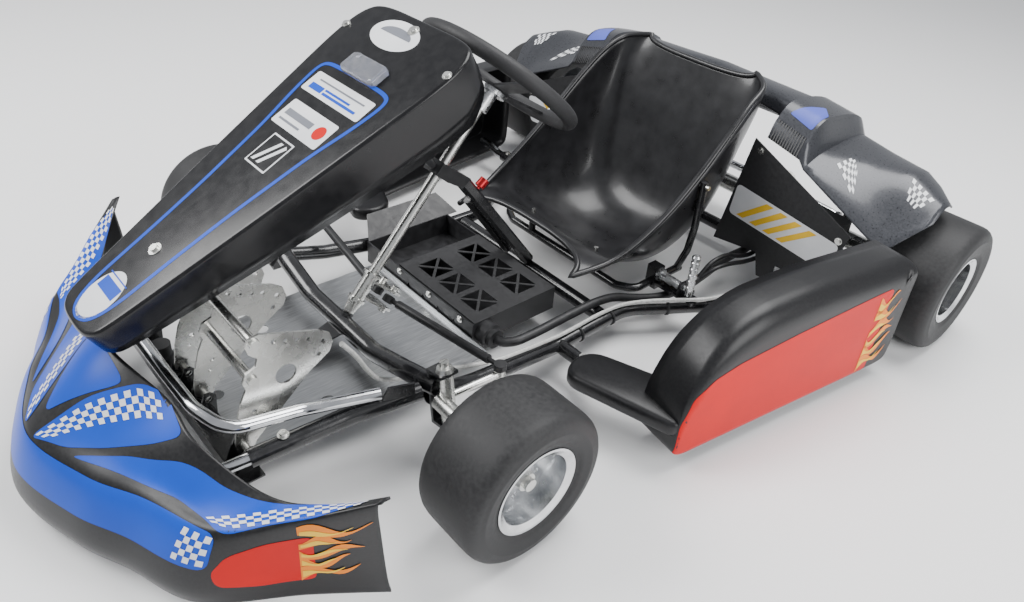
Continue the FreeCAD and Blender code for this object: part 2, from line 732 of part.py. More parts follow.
def steering_wheel():
    """Clamp hub, three-spoked spider and padded grip, square to the column."""
    turned("steering_hub", (("Dims.column_radius", 450), (17, 450), (17, 486), (31, 486), (31, 494),
                            ("Dims.column_radius", 494)), along_column(0))
    centre = rod(on_column(494), on_column(499), 34)
    pieces = [centre]
    for angle in (-20, 90, 200):
        spoke = doc.addObject("Part::Box", "Spoke")
        spoke.Length = 126
        spoke.Width = 28
        spoke.Height = 5
        lift = Rotation(V(0, 1, 0), -11)
        spoke.Placement = along_column(494, angle) * Placement(V(22, -14, 0), lift)
        pieces.append(spoke)
    joined(pieces, "steering_spider")
    ring = doc.addObject("Part::Torus", "Ring")
    bind(ring, "Radius1", "Dims.ring_radius")
    bind(ring, "Radius2", "Dims.grip_radius")
    ring.Placement = along_column(520)
    sub_part(ring, "steering_grip")


def column_bearing():
    """Bearing block on the column, its neck to the post, and the hoop that holds the panel."""
    bearing = doc.addObject("Part::Box", "Bearing")
    bearing.Length = 40
    bearing.Width = 36
    bearing.Height = 26
    bearing.Placement = along_column(308) * Placement(V(-20, -18, 0), UPRIGHT)
    lean = (POST_TOP - POST_FOOT).normalize()
    outward = lean.cross(V(1, 0, 0))
    sides = (on_column(308, 0, 18), POST_TOP - outward * 12, POST_TOP + outward * 12, on_column(334, 0, 18))
    neck = plate("neck", [(side.y, side.z) for side in sides], (), 28, at(0, 0, 0, SIDE_PLANE))
    riser = bent_bar(((0, -122, 372), (0, -165, 430), (0, -226, 500), (0, -232, 524)), 7, 40)
    hoop = rod(V(-139, -232, 520), V(139, -232, 520), 8)
    housing = joined([bearing, neck, riser, hoop])
    passage = rod(on_column(300), on_column(340), "Dims.column_radius + Dims.spindle_clearance")
    bored(housing, passage, "column_bearing")


def steering_post():
    """Box-section post from the middle cross tube to the column bearing, with a thinner strut."""
    lean = Rotation(V(0, 0, 1), POST_TOP - POST_FOOT)
    length = POST_TOP.distanceToPoint(POST_FOOT)
    beam = new_body("beam", Placement(POST_FOOT, lean))
    sketch = new_sketch(beam)
    outline(sketch, ((-14, -7), (-9, -12), (9, -12), (14, -7), (14, 7), (9, 12), (-9, 12), (-14, 7)))
    pad(beam, sketch, length)
    strut = rod(V(-26, 100, 102), V(-22, -20, 262), 8)
    link = rod(V(-24, -16, 258), V(0, -6, 262), 6)
    solid = joined([beam, strut, link])
    bored(solid, rod(button_point(-16), button_point(30), 4.3), "steering_post")


def button_point(out):
    """A point on the stop button's axis, out from the post's centre line."""
    lean = (POST_TOP - POST_FOOT).normalize()
    outward = lean.cross(V(1, 0, 0))
    return POST_FOOT + lean * 262 + outward * out


def stop_button():
    """Red emergency-stop knob on the post, with its stem in the post's bore."""
    stem = rod(button_point(-2), button_point(19), 4)
    knob = rod(button_point(18), button_point(36), 10)
    joined([stem, knob], "stop_button")


# ---------------------------------------------------------------- pedals

PEDAL_OUTLINE = ((-13, -10), (12, -10), (18, 4), (62, 44), (112, 90), (146, 112), (153, 128), (148, 146),
                 (132, 158),
                 (54, 187), (40, 192), (24, 190), (18, 178), (22, 164), (34, 152), (30, 138), (14, 132),
                 (8, 118), (12, 104), (2, 84), (-8, 50), (-14, 14))
PEDAL_HOLES = ((74, 104, 17), (60, 170, 4), (78, 163, 4), (96, 156, 4), (114, 149, 4), (137, 135, 4.5),
               (128, 115, 4), (20, 60, 4), (14, 42, 3))


def pedal(label, side):
    """Two pierced side plates joined by two round bars; it turns on pins in the channel's ears."""
    pieces = []
    for x in ("Dims.pedal_inner_x", "Dims.pedal_outer_x"):
        holes = ((0, 0, "Dims.pedal_pin_radius + 0.05"),) + PEDAL_HOLES
        pieces.append(plate("side_plate", PEDAL_OUTLINE, holes, "Dims.plate_thickness",
                            at("%d * %s" % (side, x), "Dims.pedal_pivot_y", "Dims.pedal_pivot_z", SIDE_PLANE)))
    inner = mm("Dims.pedal_inner_x") - 7
    outer = mm("Dims.pedal_outer_x") + 7
    for ahead, high in ((32, 179), (23, 117)):
        y = mm("Dims.pedal_pivot_y") + ahead
        z = mm("Dims.pedal_pivot_z") + high
        pieces.append(rod(V(side * inner, y, z), V(side * outer, y, z), "Dims.pedal_rod_radius"))
    joined(pieces, label)


def pedals():
    pedal("brake_pedal", 1)
    pedal("throttle_pedal", -1)


def throttle_sensor():
    """Position sensor that reads the throttle pedal, standing on the front channel."""
    turned("throttle_sensor", ((0, 0), (12, 0), (14, 6), (14, 20), (18, 22), (18, 34), (16, 38), (16, 58),
                               (0, 58)),
           at(-88, -608, 81.2))


# ---------------------------------------------------------------- floor and electronics

def floor_tray():
    """Aluminium under-tray between the front loop and the electronics box."""
    body = plate("floor", ((-150, -622), (150, -622), (187, -330), (187, -128), (-187, -128), (-187, -330)),
                 ((0, -560, 12), (-120, -420, 12), (120, -420, 12)), "Dims.cover_sheet", at(0, 0, 63))
    lip = block((-187, -130, 64), (187, -128, 72))
    joined([body, lip], "floor_tray")


def electronics_tray():
    """Folded sheet box for the drive electronics, with an open bay on the right."""
    wall = mm("Dims.sheet_metal")
    top = "Dims.tray_top_z"
    front = plate("front_wall", ((-222, 50), (138, 50), (138, top), (-222, top)), (), "Dims.sheet_metal",
                  at(0, -123.5, 0, Rotation(V(1, 0, 0), 90)))
    windows = new_sketch(front)
    for x in (-80, -30, 20, 70):
        outline(windows, ((x, 62), (x + 22, 62), (x + 11, 82)))
    pocket(front, windows, 20, middle=True)
    pieces = [front, block((-222, -122, 50), (138, 88, 50 + wall)),
              block((-222, 88 - wall, 50), (138, 88, top)), block((138 - wall, -122, 50), (138, 88, top)),
              block((-222, -122, 50), (-222 + wall, 88, top)), block((-110, -122, 50), (-110 + wall, 88, top))]
    lip = plate("lip", ((0, 0), (237, 0), (210, 60), (27, 60)), (), "Dims.sheet_metal",
                at(-221, -122, "Dims.tray_top_z - 2", Rotation(V(0, 1, 0), V(-0.8, 0, 0.6), V(0.6, 0, 0.8), "XYZ")))
    joined(pieces + [lip], "electronics_tray")


def tray_cover():
    """Cover over the electronics, lightened by braced squares of triangular windows."""
    body = new_body("cover", at(14, -4, "Dims.tray_top_z"))
    sketch = new_sketch(body)
    outline(sketch, ((-124, -116), (124, -116), (124, 92), (-124, 92)))
    pad(body, sketch, "Dims.cover_sheet")
    windows = new_sketch(body)
    side = 28
    gap = 4
    for column in (-70, 0, 70):
        for row in (-62, 38):
            for turn_number in range(4):
                angle = math.radians(90 * turn_number)
                along = V(math.cos(angle), math.sin(angle), 0)
                across = V(-along.y, along.x, 0)
                corners = [along * gap, along * side + across * (side - gap), along * side - across * (side - gap)]
                outline(windows, [(column + c.x, row + c.y) for c in corners])
    pocket(body, windows, 20, middle=True)
    sub_part(body, "tray_cover")


def cord(name, points, radius):
    """A cable whose arcs are as large as its runs allow; prints its smallest arc and its length."""
    path = bent_path([point(*place) for place in points], 2000)
    arcs = [edge.Curve.Radius for edge in path.Shape.Edges if hasattr(edge.Curve, "Radius")]
    print("%s: radius %.1f, smallest arc %.0f, length %.0f" % (name, mm(radius), min(arcs), path.Shape.Length))
    return swept(path, radius)


def wiring_loom():
    """Bulkhead connector on the tray's left wall, and the conduit from it to the battery."""
    connector = turned_body("connector", ((0, 0), (24, 0), (24, 24), (19, 26), (19, 36), (0, 36)),
                            at(138, -96, 76, Z_TO_LEFT))
    conduit = cord("conduit", (
        (174, -96, 76), (190, -93, 78), (205, -72, 81), (209, -18, 84), (209, 60, 87), (209, 136, 87),
        (212, 188, 80), (225, 240, 62), (246, 300, 51), (258, 370, 54), (259, 436, 65), (255, 498, 73),
        (253, 546, 73), (258, 574, 76), (264, 588, 86), (264, 588, 104)), 9)
    group([connector, conduit], "wiring_loom")


def brake_cable():
    """Sleeved cable from the brake pedal, under the cross tube and along the left rail to the caliper."""
    run = cord("brake cable", (
        (182, -424, 228), (178, -398, 190), (168, -374, 142), (160, -346, 98), (168, -306, 84), (192, -266, 100),
        (232, -224, 114), (248, -160, 108), (244, -60, 92), (240, 20, 80), (236, 110, 80.5), (240, 180, 81),
        (268, 238, 82), (304, 288, 84), (334, 336, 82), (352, 400, 80), (371, 480, 81), (379, 550, 82),
        (374, 600, 84), (348, 630, 84), (306, 641, 82), (268, 641, 82), (240, 641, 98), (240, 641, 128)),
        "Dims.cable_radius")
    sub_part(run, "brake_cable")


def power_cables():
    """Battery leads in front of the left bay, and the lead from the throttle up to the panel."""
    blue = cord("blue lead", ((284, 592, 104), (284, 592, 86), (281, 568, 80), (275, 532, 86), (268, 492, 102),
                              (262, 446, 96), (260, 410, 64)), 5)
    red = cord("red lead", ((302, 592, 104), (302, 592, 86), (298, 568, 79), (291, 532, 79), (286, 492, 88),
                            (276, 448, 88), (263, 416, 66)), 5)
    throttle = cord("throttle lead", ((-38, -424, 252), (-34, -396, 292), (-26, -350, 352), (-16, -300, 418),
                                      (-11, -258, 474), (-10, -236, 511)), 3.5)
    group([blue, red, throttle], "power_cables")


# ---------------------------------------------------------------- bodywork

def inner_side(points, wall):
    """The points moved inwards by the wall, square to the outline on its right-hand side."""
    moved = []
    for index, here in enumerate(points):
        back = points[max(index - 1, 0)]
        ahead = points[min(index + 1, len(points) - 1)]
        slope = V(ahead[0] - back[0], ahead[1] - back[1], 0).normalize()
        moved.append((here[0] + slope.y * wall, here[1] - slope.x * wall))
    return moved


def inset(corners, wall):
    """A closed outline, drawn anticlockwise, moved inwards by the wall."""
    moved = []
    for index, (x, y) in enumerate(corners):
        before = corners[index - 1]
        after = corners[(index + 1) % len(corners)]
        first = V(x - before[0], y - before[1], 0).normalize()
        second = V(after[0] - x, after[1] - y, 0).normalize()
        middle = (first + second).normalize()
        reach = wall / middle.dot(first)
        moved.append((x - middle.y * reach, y + middle.x * reach))
    return moved


def shell_section(x, points, wall):
    """Closed outline, in an upright plane, of a wall that follows the points."""
    ring = list(points) + list(reversed(inner_side(points, wall)))
    corners = [V(x, y, z) for y, z in ring]
    return Part.makePolygon(corners + corners[:1])


def moulding(label, sections):
    """A moulded shell that runs through its sections, from one side of the kart to the other."""
    wall = mm("Dims.shell_wall")
    whole = [(-x, points) for x, points in reversed(sections) if x] + list(sections)
    wires = [shell_section(x, points, wall) for x, points in whole]
    freeform(label, Part.makeLoft(wires, True, True))


NOSE_SECTIONS = (
    (0, ((-860, 25), (-864, 62), (-838, 130), (-798, 168), (-742, 214), (-700, 238))),
    (130, ((-826, 25), (-831, 60), (-800, 132), (-756, 160), (-705, 192), (-670, 212))),
    (215, ((-785, 25), (-790, 60), (-754, 132), (-722, 150), (-696, 174), (-668, 196))),
    (320, ((-735, 25), (-738, 60), (-708, 132), (-684, 146), (-655, 152), (-622, 156))),
    (400, ((-616, 25), (-620, 60), (-622, 145), (-618, 176), (-598, 182), (-578, 180))),
    (466, ((-526, 25), (-532, 60), (-540, 150), (-544, 208), (-536, 218), (-526, 219))),
)

COWL_SECTIONS = (
    (0, ((694, 396), (712, 420), (760, 412), (815, 372), (848, 300))),
    (236, ((640, 384), (668, 418), (750, 408), (815, 372), (848, 300))),
    (252, ((566, 360), (588, 402), (650, 430), (800, 396), (848, 300))),
    (334, ((566, 342), (590, 384), (650, 416), (800, 384), (848, 292))),
    (350, ((566, 326), (584, 336), (648, 350), (800, 350), (846, 280))),
    (430, ((566, 288), (600, 312), (684, 345), (790, 340), (838, 290))),
    (520, ((566, 246), (600, 276), (684, 345), (760, 342), (806, 306))),
    (560, ((566, 238), (596, 268), (676, 332), (740, 330), (770, 308))),
    (604, ((640, 296), (650, 303), (676, 318), (700, 318), (716, 310))),
)


def front_panel():
    """Number panel: a long pressed cover with side flanges, from the nose to the steering wheel."""
    slope = Rotation(V(1, 0, 0), mm("Dims.panel_slope"))
    body = new_body("front_cover", at(0, -744, 297, slope))
    long = mm("Dims.panel_length")
    right = ((34, 4), (56, 16), (66, 34), (112, 330), (150, 600), (146, 660), (118, long))
    whole = right + tuple((-x, y) for x, y in reversed(right))
    sketch = new_sketch(body)
    outline(sketch, whole)
    pad(body, sketch, "Dims.panel_depth", back=True)
    soften(body, 5, lambda edge: min(vertex.Z for vertex in edge.Vertexes) > -0.1, "PartDesign::Chamfer")
    wall = mm("Dims.sheet_metal")
    inside = new_sketch(body, "XY_Plane", Placement(V(0, 0, -2 * wall), UPRIGHT))
    outline(inside, inset(whole, wall))
    pocket(body, inside, 200)
    trim = new_sketch(body, "YZ_Plane")
    outline(trim, ((-20, -200), (760, -200), (760, -12), (688, -24), (668, -70), (620, -98), (560, -101),
                   (330, -82), (120, -62), (-20, -44)))
    pocket(body, trim, 400, middle=True)
    sub_part(body, "front_panel")


def panel_light():
    """Clear-lensed light on the front panel."""
    slope = Rotation(V(1, 0, 0), mm("Dims.panel_slope"))
    body = new_body("light", Placement(at(0, -744, 297, slope).multVec(V(0, 560, 0.2)), slope))
    sketch = new_sketch(body)
    outline(sketch, ((-46, -15), (-38, -20), (38, -20), (46, -15), (46, 15), (38, 20), (-38, 20), (-46, 15)))
    pad(body, sketch, 12)
    soften(body, 5, lambda edge: min(vertex.Z for vertex in edge.Vertexes) > 11)
    sub_part(body, "panel_light")


def pod_block(corners, front, bevel):
    """One of the two bevelled blocks whose difference is a side bumper's shell."""
    toe = Rotation(V(0, 0, 1), -mm("Dims.pod_toe"))
    along = toe.multVec(V(0, 1, 0))
    outward = along.cross(V(0, 0, 1))
    face = Rotation(along, V(0, 0, 1), outward, "XYZ")
    body = new_body("pod", Placement(V(551, -33, 30) - outward * front, face))
    sketch = new_sketch(body)
    outline(sketch, corners)
    pad(body, sketch, "Dims.pod_depth", back=True)
    soften(body, bevel, lambda edge: all(abs(vertex.Z) < 0.1 and vertex.Y > 50 for vertex in edge.Vertexes),
           "PartDesign::Chamfer")
    return body


def sidepods():
    """Side bumpers: moulded shells open towards the kart, each with a shelf at its front."""
    wall = mm("Dims.shell_wall")
    long = mm("Dims.pod_length")
    high = mm("Dims.pod_height")
    corners = ((0, 0), (long - 15, 0), (long, 18), (long, high - 12), (300, high), (170, high - 6),
               (100, high - 32), (48, high - 78), (14, 100))
    shell = bored(pod_block(corners, 0, 20), pod_block(inset(corners, wall), wall, 18))
    shelf = plate("shelf", ((344, -84), (316, -40), (330, 6), (460, 56), (560, 70), (549, -28), (520, -36)),
                  (),
                  30, at(0, 0, 76), middle=False)
    pod = joined([shell, shelf])
    sub_part(pod, "left_sidepod")
    mirrored(pod, "right_sidepod")


def bay_covers():
    """Sheet covers across the front of the battery and controller bays, notched for the rails."""
    corners = ((230, 352), (186, 84), (299, 100), (315, 46), (352, 50), (352, 92), (408, 92), (408, 56),
               (450, 60), (490, 236))
    panel = plate("bay_cover", corners, (), "Dims.sheet_metal", at(0, 560, 0, Rotation(V(1, 0, 0), 90)))
    group([panel, mirrored(panel)], "bay_covers")


def rear_bays():
    """Battery box on the left and motor controller on the right, behind their covers."""
    battery = new_body("battery", at(0, 0, 104))
    sketch = new_sketch(battery)
    outline(sketch, ((253, 566), (448, 566), (448, 656), (253, 656)))
    pad(battery, sketch, 118)
    soften(battery, 6, lambda edge: edge.BoundBox.ZLength > 100)
    sub_part(battery, "battery_pack")
    controller = new_body("controller", at(0, 0, 96))
    sketch = new_sketch(controller)
    outline(sketch, ((-448, 566), (-402, 566), (-402, 656), (-448, 656)))
    pad(controller, sketch, 120)
    sub_part(controller, "motor_controller")


# ---------------------------------------------------------------- seat

SEAT_STATIONS = (
    # middle of the pan (y, z), rim (half width, y, z)
    ((146, 172), (176, 86, 150)),
    ((190, 150), (196, 170, 160)),
    ((256, 100), (208, 240, 190)),
    ((340, 58), (214, 320, 240)),
    ((430, 50), (215, 402, 305)),
    ((510, 92), (213, 478, 372)),
    ((556, 200), (208, 540, 420)),
    ((590, 330), (196, 598, 446)),
    ((622, 440), (150, 636, 456)),
)


def seat_shell():
    """Bucket seat: a moulded shell, U-shaped across, from the thigh lips to the top of the back."""
    wall = mm("Dims.seat_wall")
    wires = []
    for (pan_y, pan_z), (half, rim_y, rim_z) in SEAT_STATIONS:
        pan = V(0, pan_y, pan_z)
        depth = V(0, rim_y, rim_z) - pan
        outer = []
        inner = []
        for step in range(13):
            share = step / 6 - 1
            swing = math.sin(share * math.pi / 2)
            height = abs(share) ** 2.6
            here = pan + V(half * swing, 0, 0) + depth * height
            edge = V(depth).normalize()
            inset = wall * (1 - 0.5 * height)
            inner.append(here + edge * inset * (1 - height) - V(math.copysign(wall, swing) * height, 0, 0))
            outer.append(here)
        curve = Part.BSplineCurve()
        curve.interpolate(outer)
        under = Part.BSplineCurve()
        under.interpolate(list(reversed(inner)))
        wires.append(Part.Wire([curve.toShape(), Part.LineSegment(outer[-1], inner[-1]).toShape(), under.toShape(),
                                Part.LineSegment(inner[0], outer[0]).toShape()]))
    freeform("seat_shell", Part.makeLoft(wires, True, False))


def seat_frame():
    """Bent bar under the seat with risers to the pan, and stays up to the seat's sides."""
    left = ((206, 350, 66), (206, 262, 66), (168, 244, 62))
    radius = "Dims.seat_bar_radius"
    cross = bent_bar(left + tuple(mirror_points(left)), radius, 30)
    end = rod(V(206, 340, 66), V(206, 410, 66), radius)
    stay = bent_bar(((206, 400, 66), (222, 404, 120), (228, 404, 180), (228, 404, 290)), 8, 60)
    riser = rod(V(100, 244, 64), V(100, 244, 103.5), 8)
    joined([cross, end, stay, riser, mirrored(end), mirrored(stay), mirrored(riser)], "seat_frame")


def seat_bolts():
    """Washered bolts through the seat's sides and pan."""
    bolts = []
    for side in (1, -1):
        bolts.append(rod(V(side * 203, 404, 280), V(side * 242, 404, 280), 5))
        bolts.append(rod(V(side * 100, 244, 90), V(side * 100, 244, 122), 5))
    group(bolts, "seat_bolts")


def seat_lever():
    """Grooved clamp lever and its spindle, in the bracket on the left rail."""
    shank = "Dims.lever_radius"
    spindle = turned_body("spindle", ((0, 0), (15, 0), (15, 6), (10, 8), (10, 56), (shank, 58), (shank, 88),
                                      (0, 88)),
                          at(222.5, 318, 92, Z_TO_LEFT))
    grooves = [(0, 0), (9, 0)]
    for step in range(5):
        base = 20 + step * 15
        grooves += [(9, base), (7, base + 2), (7, base + 4), (9, base + 6)]
    grooves += [(9, 92), (6, 96), (0, 96)]
    handle = turned_body("handle", grooves, at(302, 318, 84))
    joined([spindle, handle], "seat_lever")


# ---------------------------------------------------------------- fasteners

def screw(place, direction, radius=6, height=4):
    """A domed screw head on a washer."""
    direction = V(direction).normalize()
    washer = rod(place, place + direction * 1.5, radius + 3)
    head = rod(place + direction * 1.5, place + direction * (1.5 + height), radius)
    return joined([washer, head])


def frame_screws():
    """Screws of the panel, the trays, the covers and the sleeves."""
    slope = Rotation(V(1, 0, 0), mm("Dims.panel_slope"))
    panel = at(0, -744, 297, slope)
    heads = [screw(panel.multVec(V(0, along, 0)), slope.multVec(V(0, 0, 1))) for along in (152, 664)]
    heads += [screw(panel.multVec(V(side * 140, 620, 0)), slope.multVec(V(0, 0, 1)), 5, 3) for side in (1, -1)]
    for x in (-170, -100, 0, 100):
        heads.append(screw(V(x, -125, 92), V(0, -1, 0), 4, 3))
    for side in (1, -1):
        heads.append(screw(V(side * 219, -548, 139.6), V(0, 0, 1), 6, 5))
        heads.append(screw(V(side * 306, 5, 74), V(0, 0, 1), 5, 4))
        heads.append(screw(V(side * 428, 452, 74), V(0, 0, 1), 5, 4))
        heads.append(screw(V(side * 250, 558.5, 330), V(0, -1, 0), 5, 3))
        heads.append(screw(V(side * 470, 558.5, 216), V(0, -1, 0), 5, 3))
    group(heads, "frame_screws")


# ---------------------------------------------------------------- build

BUILDERS = (
    frame_rails, cross_tubes, front_rails, bumper_bars, carrying_tubes, front_channel, yokes, pivot_pins,
    frame_brackets, front_wheels, rear_wheels, axle_fittings, brake_caliper, drive, knuckles, steering_column,
    tie_rods, steering_wheel, column_bearing, steering_post, stop_button, pedals, throttle_sensor, floor_tray,
    electronics_tray, tray_cover, wiring_loom, brake_cable, power_cables, front_panel, panel_light, sidepods,
    bay_covers, rear_bays, seat_shell, seat_frame, seat_bolts, seat_lever, frame_screws,
)
for build in BUILDERS:
    build()
moulding("nose_fairing", NOSE_SECTIONS)
moulding("rear_cowl", COWL_SECTIONS)
doc.recompute()

for item in doc.Objects:
    if "Invalid" in item.State or "Error" in item.State:
        raise RuntimeError("%s (%s) failed: %s" % (item.Name, item.Label, item.State))
for thing in SUB_PARTS:
    if thing.Shape.isNull() or not thing.Shape.isValid() or not thing.Shape.Solids:
        raise RuntimeError("bad shape: " + thing.Label)

os.makedirs("parts", exist_ok=True)
for thing in SUB_PARTS:
    thing.Shape.exportStep("parts/%s.step" % thing.Label)
    print("%-24s solids %2d  volume %10.0f" % (thing.Label, len(thing.Shape.Solids), thing.Shape.Volume))
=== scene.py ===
import bmesh
import bpy
import math
import random
from mathutils import Matrix, Vector
from mathutils.bvhtree import BVHTree
from mathutils.interpolate import poly_3d_calc


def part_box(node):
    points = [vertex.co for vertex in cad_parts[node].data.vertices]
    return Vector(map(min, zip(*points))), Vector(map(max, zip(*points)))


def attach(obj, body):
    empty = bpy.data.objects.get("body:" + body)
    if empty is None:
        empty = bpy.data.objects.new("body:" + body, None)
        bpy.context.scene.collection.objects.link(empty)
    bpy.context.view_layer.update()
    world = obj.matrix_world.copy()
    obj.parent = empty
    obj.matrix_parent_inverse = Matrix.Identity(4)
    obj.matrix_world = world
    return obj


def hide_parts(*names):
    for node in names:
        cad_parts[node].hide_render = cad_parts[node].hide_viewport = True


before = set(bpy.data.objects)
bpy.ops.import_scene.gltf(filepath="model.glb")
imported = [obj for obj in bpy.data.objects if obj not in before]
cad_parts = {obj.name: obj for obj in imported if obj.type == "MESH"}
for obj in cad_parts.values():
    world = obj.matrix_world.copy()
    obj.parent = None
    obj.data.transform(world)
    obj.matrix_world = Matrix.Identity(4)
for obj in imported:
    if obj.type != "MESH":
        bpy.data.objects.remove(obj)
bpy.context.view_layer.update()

# ---------------------------------------------------------------- studio
# Wide, close camera over the kart's left front wheel. Two large soft boxes, a low strip for the
# bright edges on the tubes, and a pale floor that runs out of sight.
eye = (1.04749, -0.90481, 1.02452)
turn = math.radians(45.45)
tilt = math.radians(32.58)
roll = math.radians(5.38)
right = Vector((math.cos(turn), math.sin(turn), 0))
back = Vector((math.sin(turn) * math.cos(tilt), -math.cos(turn) * math.cos(tilt), math.sin(tilt)))
up = back.cross(right)
side_axis = right * math.cos(roll) + up * math.sin(roll)
top_axis = up * math.cos(roll) - right * math.sin(roll)
lens = bpy.data.cameras.new("camera")
lens.lens = 28.35
lens.sensor_width = 36
lens.shift_x = -0.0111
lens.shift_y = -0.0425
camera = bpy.data.objects.new("camera", lens)
camera.matrix_world = Matrix.Translation(eye) @ Matrix((
    (side_axis.x, top_axis.x, back.x, 0), (side_axis.y, top_axis.y, back.y, 0),
    (side_axis.z, top_axis.z, back.z, 0), (0, 0, 0, 1)))
bpy.context.scene.collection.objects.link(camera)
bpy.context.scene.camera = camera

world = bpy.data.worlds.new("studio")
world.use_nodes = True
backdrop = world.node_tree.nodes["Background"]
backdrop.inputs["Color"].default_value = (0.86, 0.88, 0.92, 1)
backdrop.inputs["Strength"].default_value = 0.62
bpy.context.scene.world = world
for name, place, aim, power, size in (
        ("window", (-1.6, -1.9, 2.6), (0, 0, 0.2), 120, 1.8),
        ("ceiling", (0.4, 1.2, 3.0), (0, 0.1, 0.2), 115, 2.0),
        ("strip", (2.6, 0.4, 1.3), (0.2, 0, 0.2), 40, 1.4)):
    light = bpy.data.lights.new(name, "AREA")
    light.energy = power
    light.size = size
    lamp = bpy.data.objects.new(name, light)
    lamp.location = place
    lamp.rotation_euler = (Vector(aim) - Vector(place)).to_track_quat("-Z", "Y").to_euler()
    bpy.context.scene.collection.objects.link(lamp)

floor_mesh = bpy.data.meshes.new("studio_floor")
floor_reach, floor_level = 14, -0.0005
floor_corners = [(x * floor_reach, y * floor_reach, floor_level)
                 for x, y in ((-1, -1), (1, -1), (1, 1), (-1, 1))]
floor_mesh.from_pydata(floor_corners, [], [(0, 1, 2, 3)])
floor = bpy.data.objects.new("studio_floor", floor_mesh)
floor_paint = bpy.data.materials.new("pale_floor")
floor_paint.use_nodes = True
floor_shader = floor_paint.node_tree.nodes["Principled BSDF"]
floor_shader.inputs["Base Color"].default_value = (0.92, 0.92, 0.92, 1)
floor_shader.inputs["Roughness"].default_value = 0.8
floor_mesh.materials.append(floor_paint)
bpy.context.scene.collection.objects.link(floor)


# ---------------------------------------------------------------- welded frame
# Steel tubes bent and welded, then powder coated in gloss black. The rails, cross tubes, yokes,
# brackets, post and spindle holders all carry this one coat, thin and slightly rippled.
def finish(name, low, high, rough, metallic=0.0, grain=40.0, depth=0.0, coat=0.0,
           stretch=(1, 1, 1), shine=0.5):
    """A finish whose colour and roughness drift between two values at the grain's size."""
    material = bpy.data.materials.new(name)
    material.use_nodes = True
    tree = material.node_tree
    shader = tree.nodes["Principled BSDF"]
    shader.inputs["Metallic"].default_value = metallic
    shader.inputs["Coat Weight"].default_value = coat
    shader.inputs["Specular IOR Level"].default_value = shine
    shader.inputs["Coat Roughness"].default_value = 0.12
    place = tree.nodes.new("ShaderNodeTexCoord")
    mapping = tree.nodes.new("ShaderNodeMapping")
    mapping.inputs["Scale"].default_value = stretch
    noise = tree.nodes.new("ShaderNodeTexNoise")
    noise.inputs["Scale"].default_value = grain
    noise.inputs["Detail"].default_value = 5
    colours = tree.nodes.new("ShaderNodeValToRGB")
    colours.color_ramp.elements[0].position = 0.32
    colours.color_ramp.elements[0].color = (*low, 1)
    colours.color_ramp.elements[1].position = 0.68
    colours.color_ramp.elements[1].color = (*high, 1)
    spread = tree.nodes.new("ShaderNodeMapRange")
    spread.inputs["From Min"].default_value = 0.3
    spread.inputs["From Max"].default_value = 0.7
    spread.inputs["To Min"].default_value = rough[0]
    spread.inputs["To Max"].default_value = rough[1]
    tree.links.new(place.outputs["Object"], mapping.inputs["Vector"])
    tree.links.new(mapping.outputs["Vector"], noise.inputs["Vector"])
    tree.links.new(noise.outputs["Fac"], colours.inputs["Fac"])
    tree.links.new(noise.outputs["Fac"], spread.inputs["Value"])
    tree.links.new(colours.outputs["Color"], shader.inputs["Base Color"])
    tree.links.new(spread.outputs["Result"], shader.inputs["Roughness"])
    if depth:
        bump = tree.nodes.new("ShaderNodeBump")
        bump.inputs["Distance"].default_value = depth
        bump.inputs["Strength"].default_value = 0.6
        tree.links.new(noise.outputs["Fac"], bump.inputs["Height"])
        tree.links.new(bump.outputs["Normal"], shader.inputs["Normal"])
    return material


def coat_nodes(material, *names):
    """Gives the finish to pieces whose shape is already right."""
    for name in names:
        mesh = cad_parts[name].data
        mesh.materials.clear()
        mesh.materials.append(material)


powder_coat = finish("powder_coat", (0.010, 0.010, 0.011), (0.019, 0.019, 0.021), (0.16, 0.30),
                     grain=60, depth=0.0002, coat=0.5)
coat_nodes(powder_coat, "left_frame_rail", "right_frame_rail", "front_cross_tube", "cross_tubes",
           "front_rails", "front_channel", "steering_yokes", "frame_brackets", "steering_post",
           "seat_frame")

# ---------------------------------------------------------------- plated bars
# The loops round the pedals and the tail, and the short tubes that carry the nose and side
# bumpers, are bright chromed steel with faint polishing clouds.
chrome = finish("chromed_bar", (0.56, 0.57, 0.59), (0.70, 0.71, 0.73), (0.07, 0.20), metallic=1.0,
                grain=30)
coat_nodes(chrome, "bumper_bars", "carrying_tubes")

# ---------------------------------------------------------------- zinc plated steel
# Pedals, steering column, stub axles, pins, axle and screws are zinc plated: a pale, slightly
# yellow spangle that is duller in patches.
zinc = finish("zinc_plate", (0.66, 0.66, 0.63), (0.74, 0.74, 0.71), (0.24, 0.30), metallic=1.0,
              grain=55, depth=0.00003)
coat_nodes(zinc, "pivot_pins", "left_knuckle", "right_knuckle", "steering_column", "brake_pedal",
           "throttle_pedal", "rear_axle", "brake_disc", "seat_bolts", "frame_screws")

# ---------------------------------------------------------------- bare aluminium
# Floor tray of rolled sheet with its grain along the kart, and the turned or milled pieces of
# the drive, brake and seat clamp.
rolled_sheet = finish("rolled_sheet", (0.42, 0.43, 0.44), (0.60, 0.61, 0.62), (0.28, 0.45),
                      metallic=1.0, grain=30, stretch=(14, 0.8, 14))
coat_nodes(rolled_sheet, "floor_tray")
milled = finish("milled_aluminium", (0.60, 0.61, 0.62), (0.78, 0.79, 0.80), (0.18, 0.36),
                metallic=1.0, grain=80)
coat_nodes(milled, "axle_pulley", "motor_pulley", "brake_caliper", "steering_hub", "seat_lever",
           "axle_bearings")
motor_shell = finish("motor_shell", (0.20, 0.21, 0.22), (0.32, 0.33, 0.34), (0.35, 0.5),
                     metallic=1.0, grain=45)
coat_nodes(motor_shell, "drive_motor", "motor_controller")

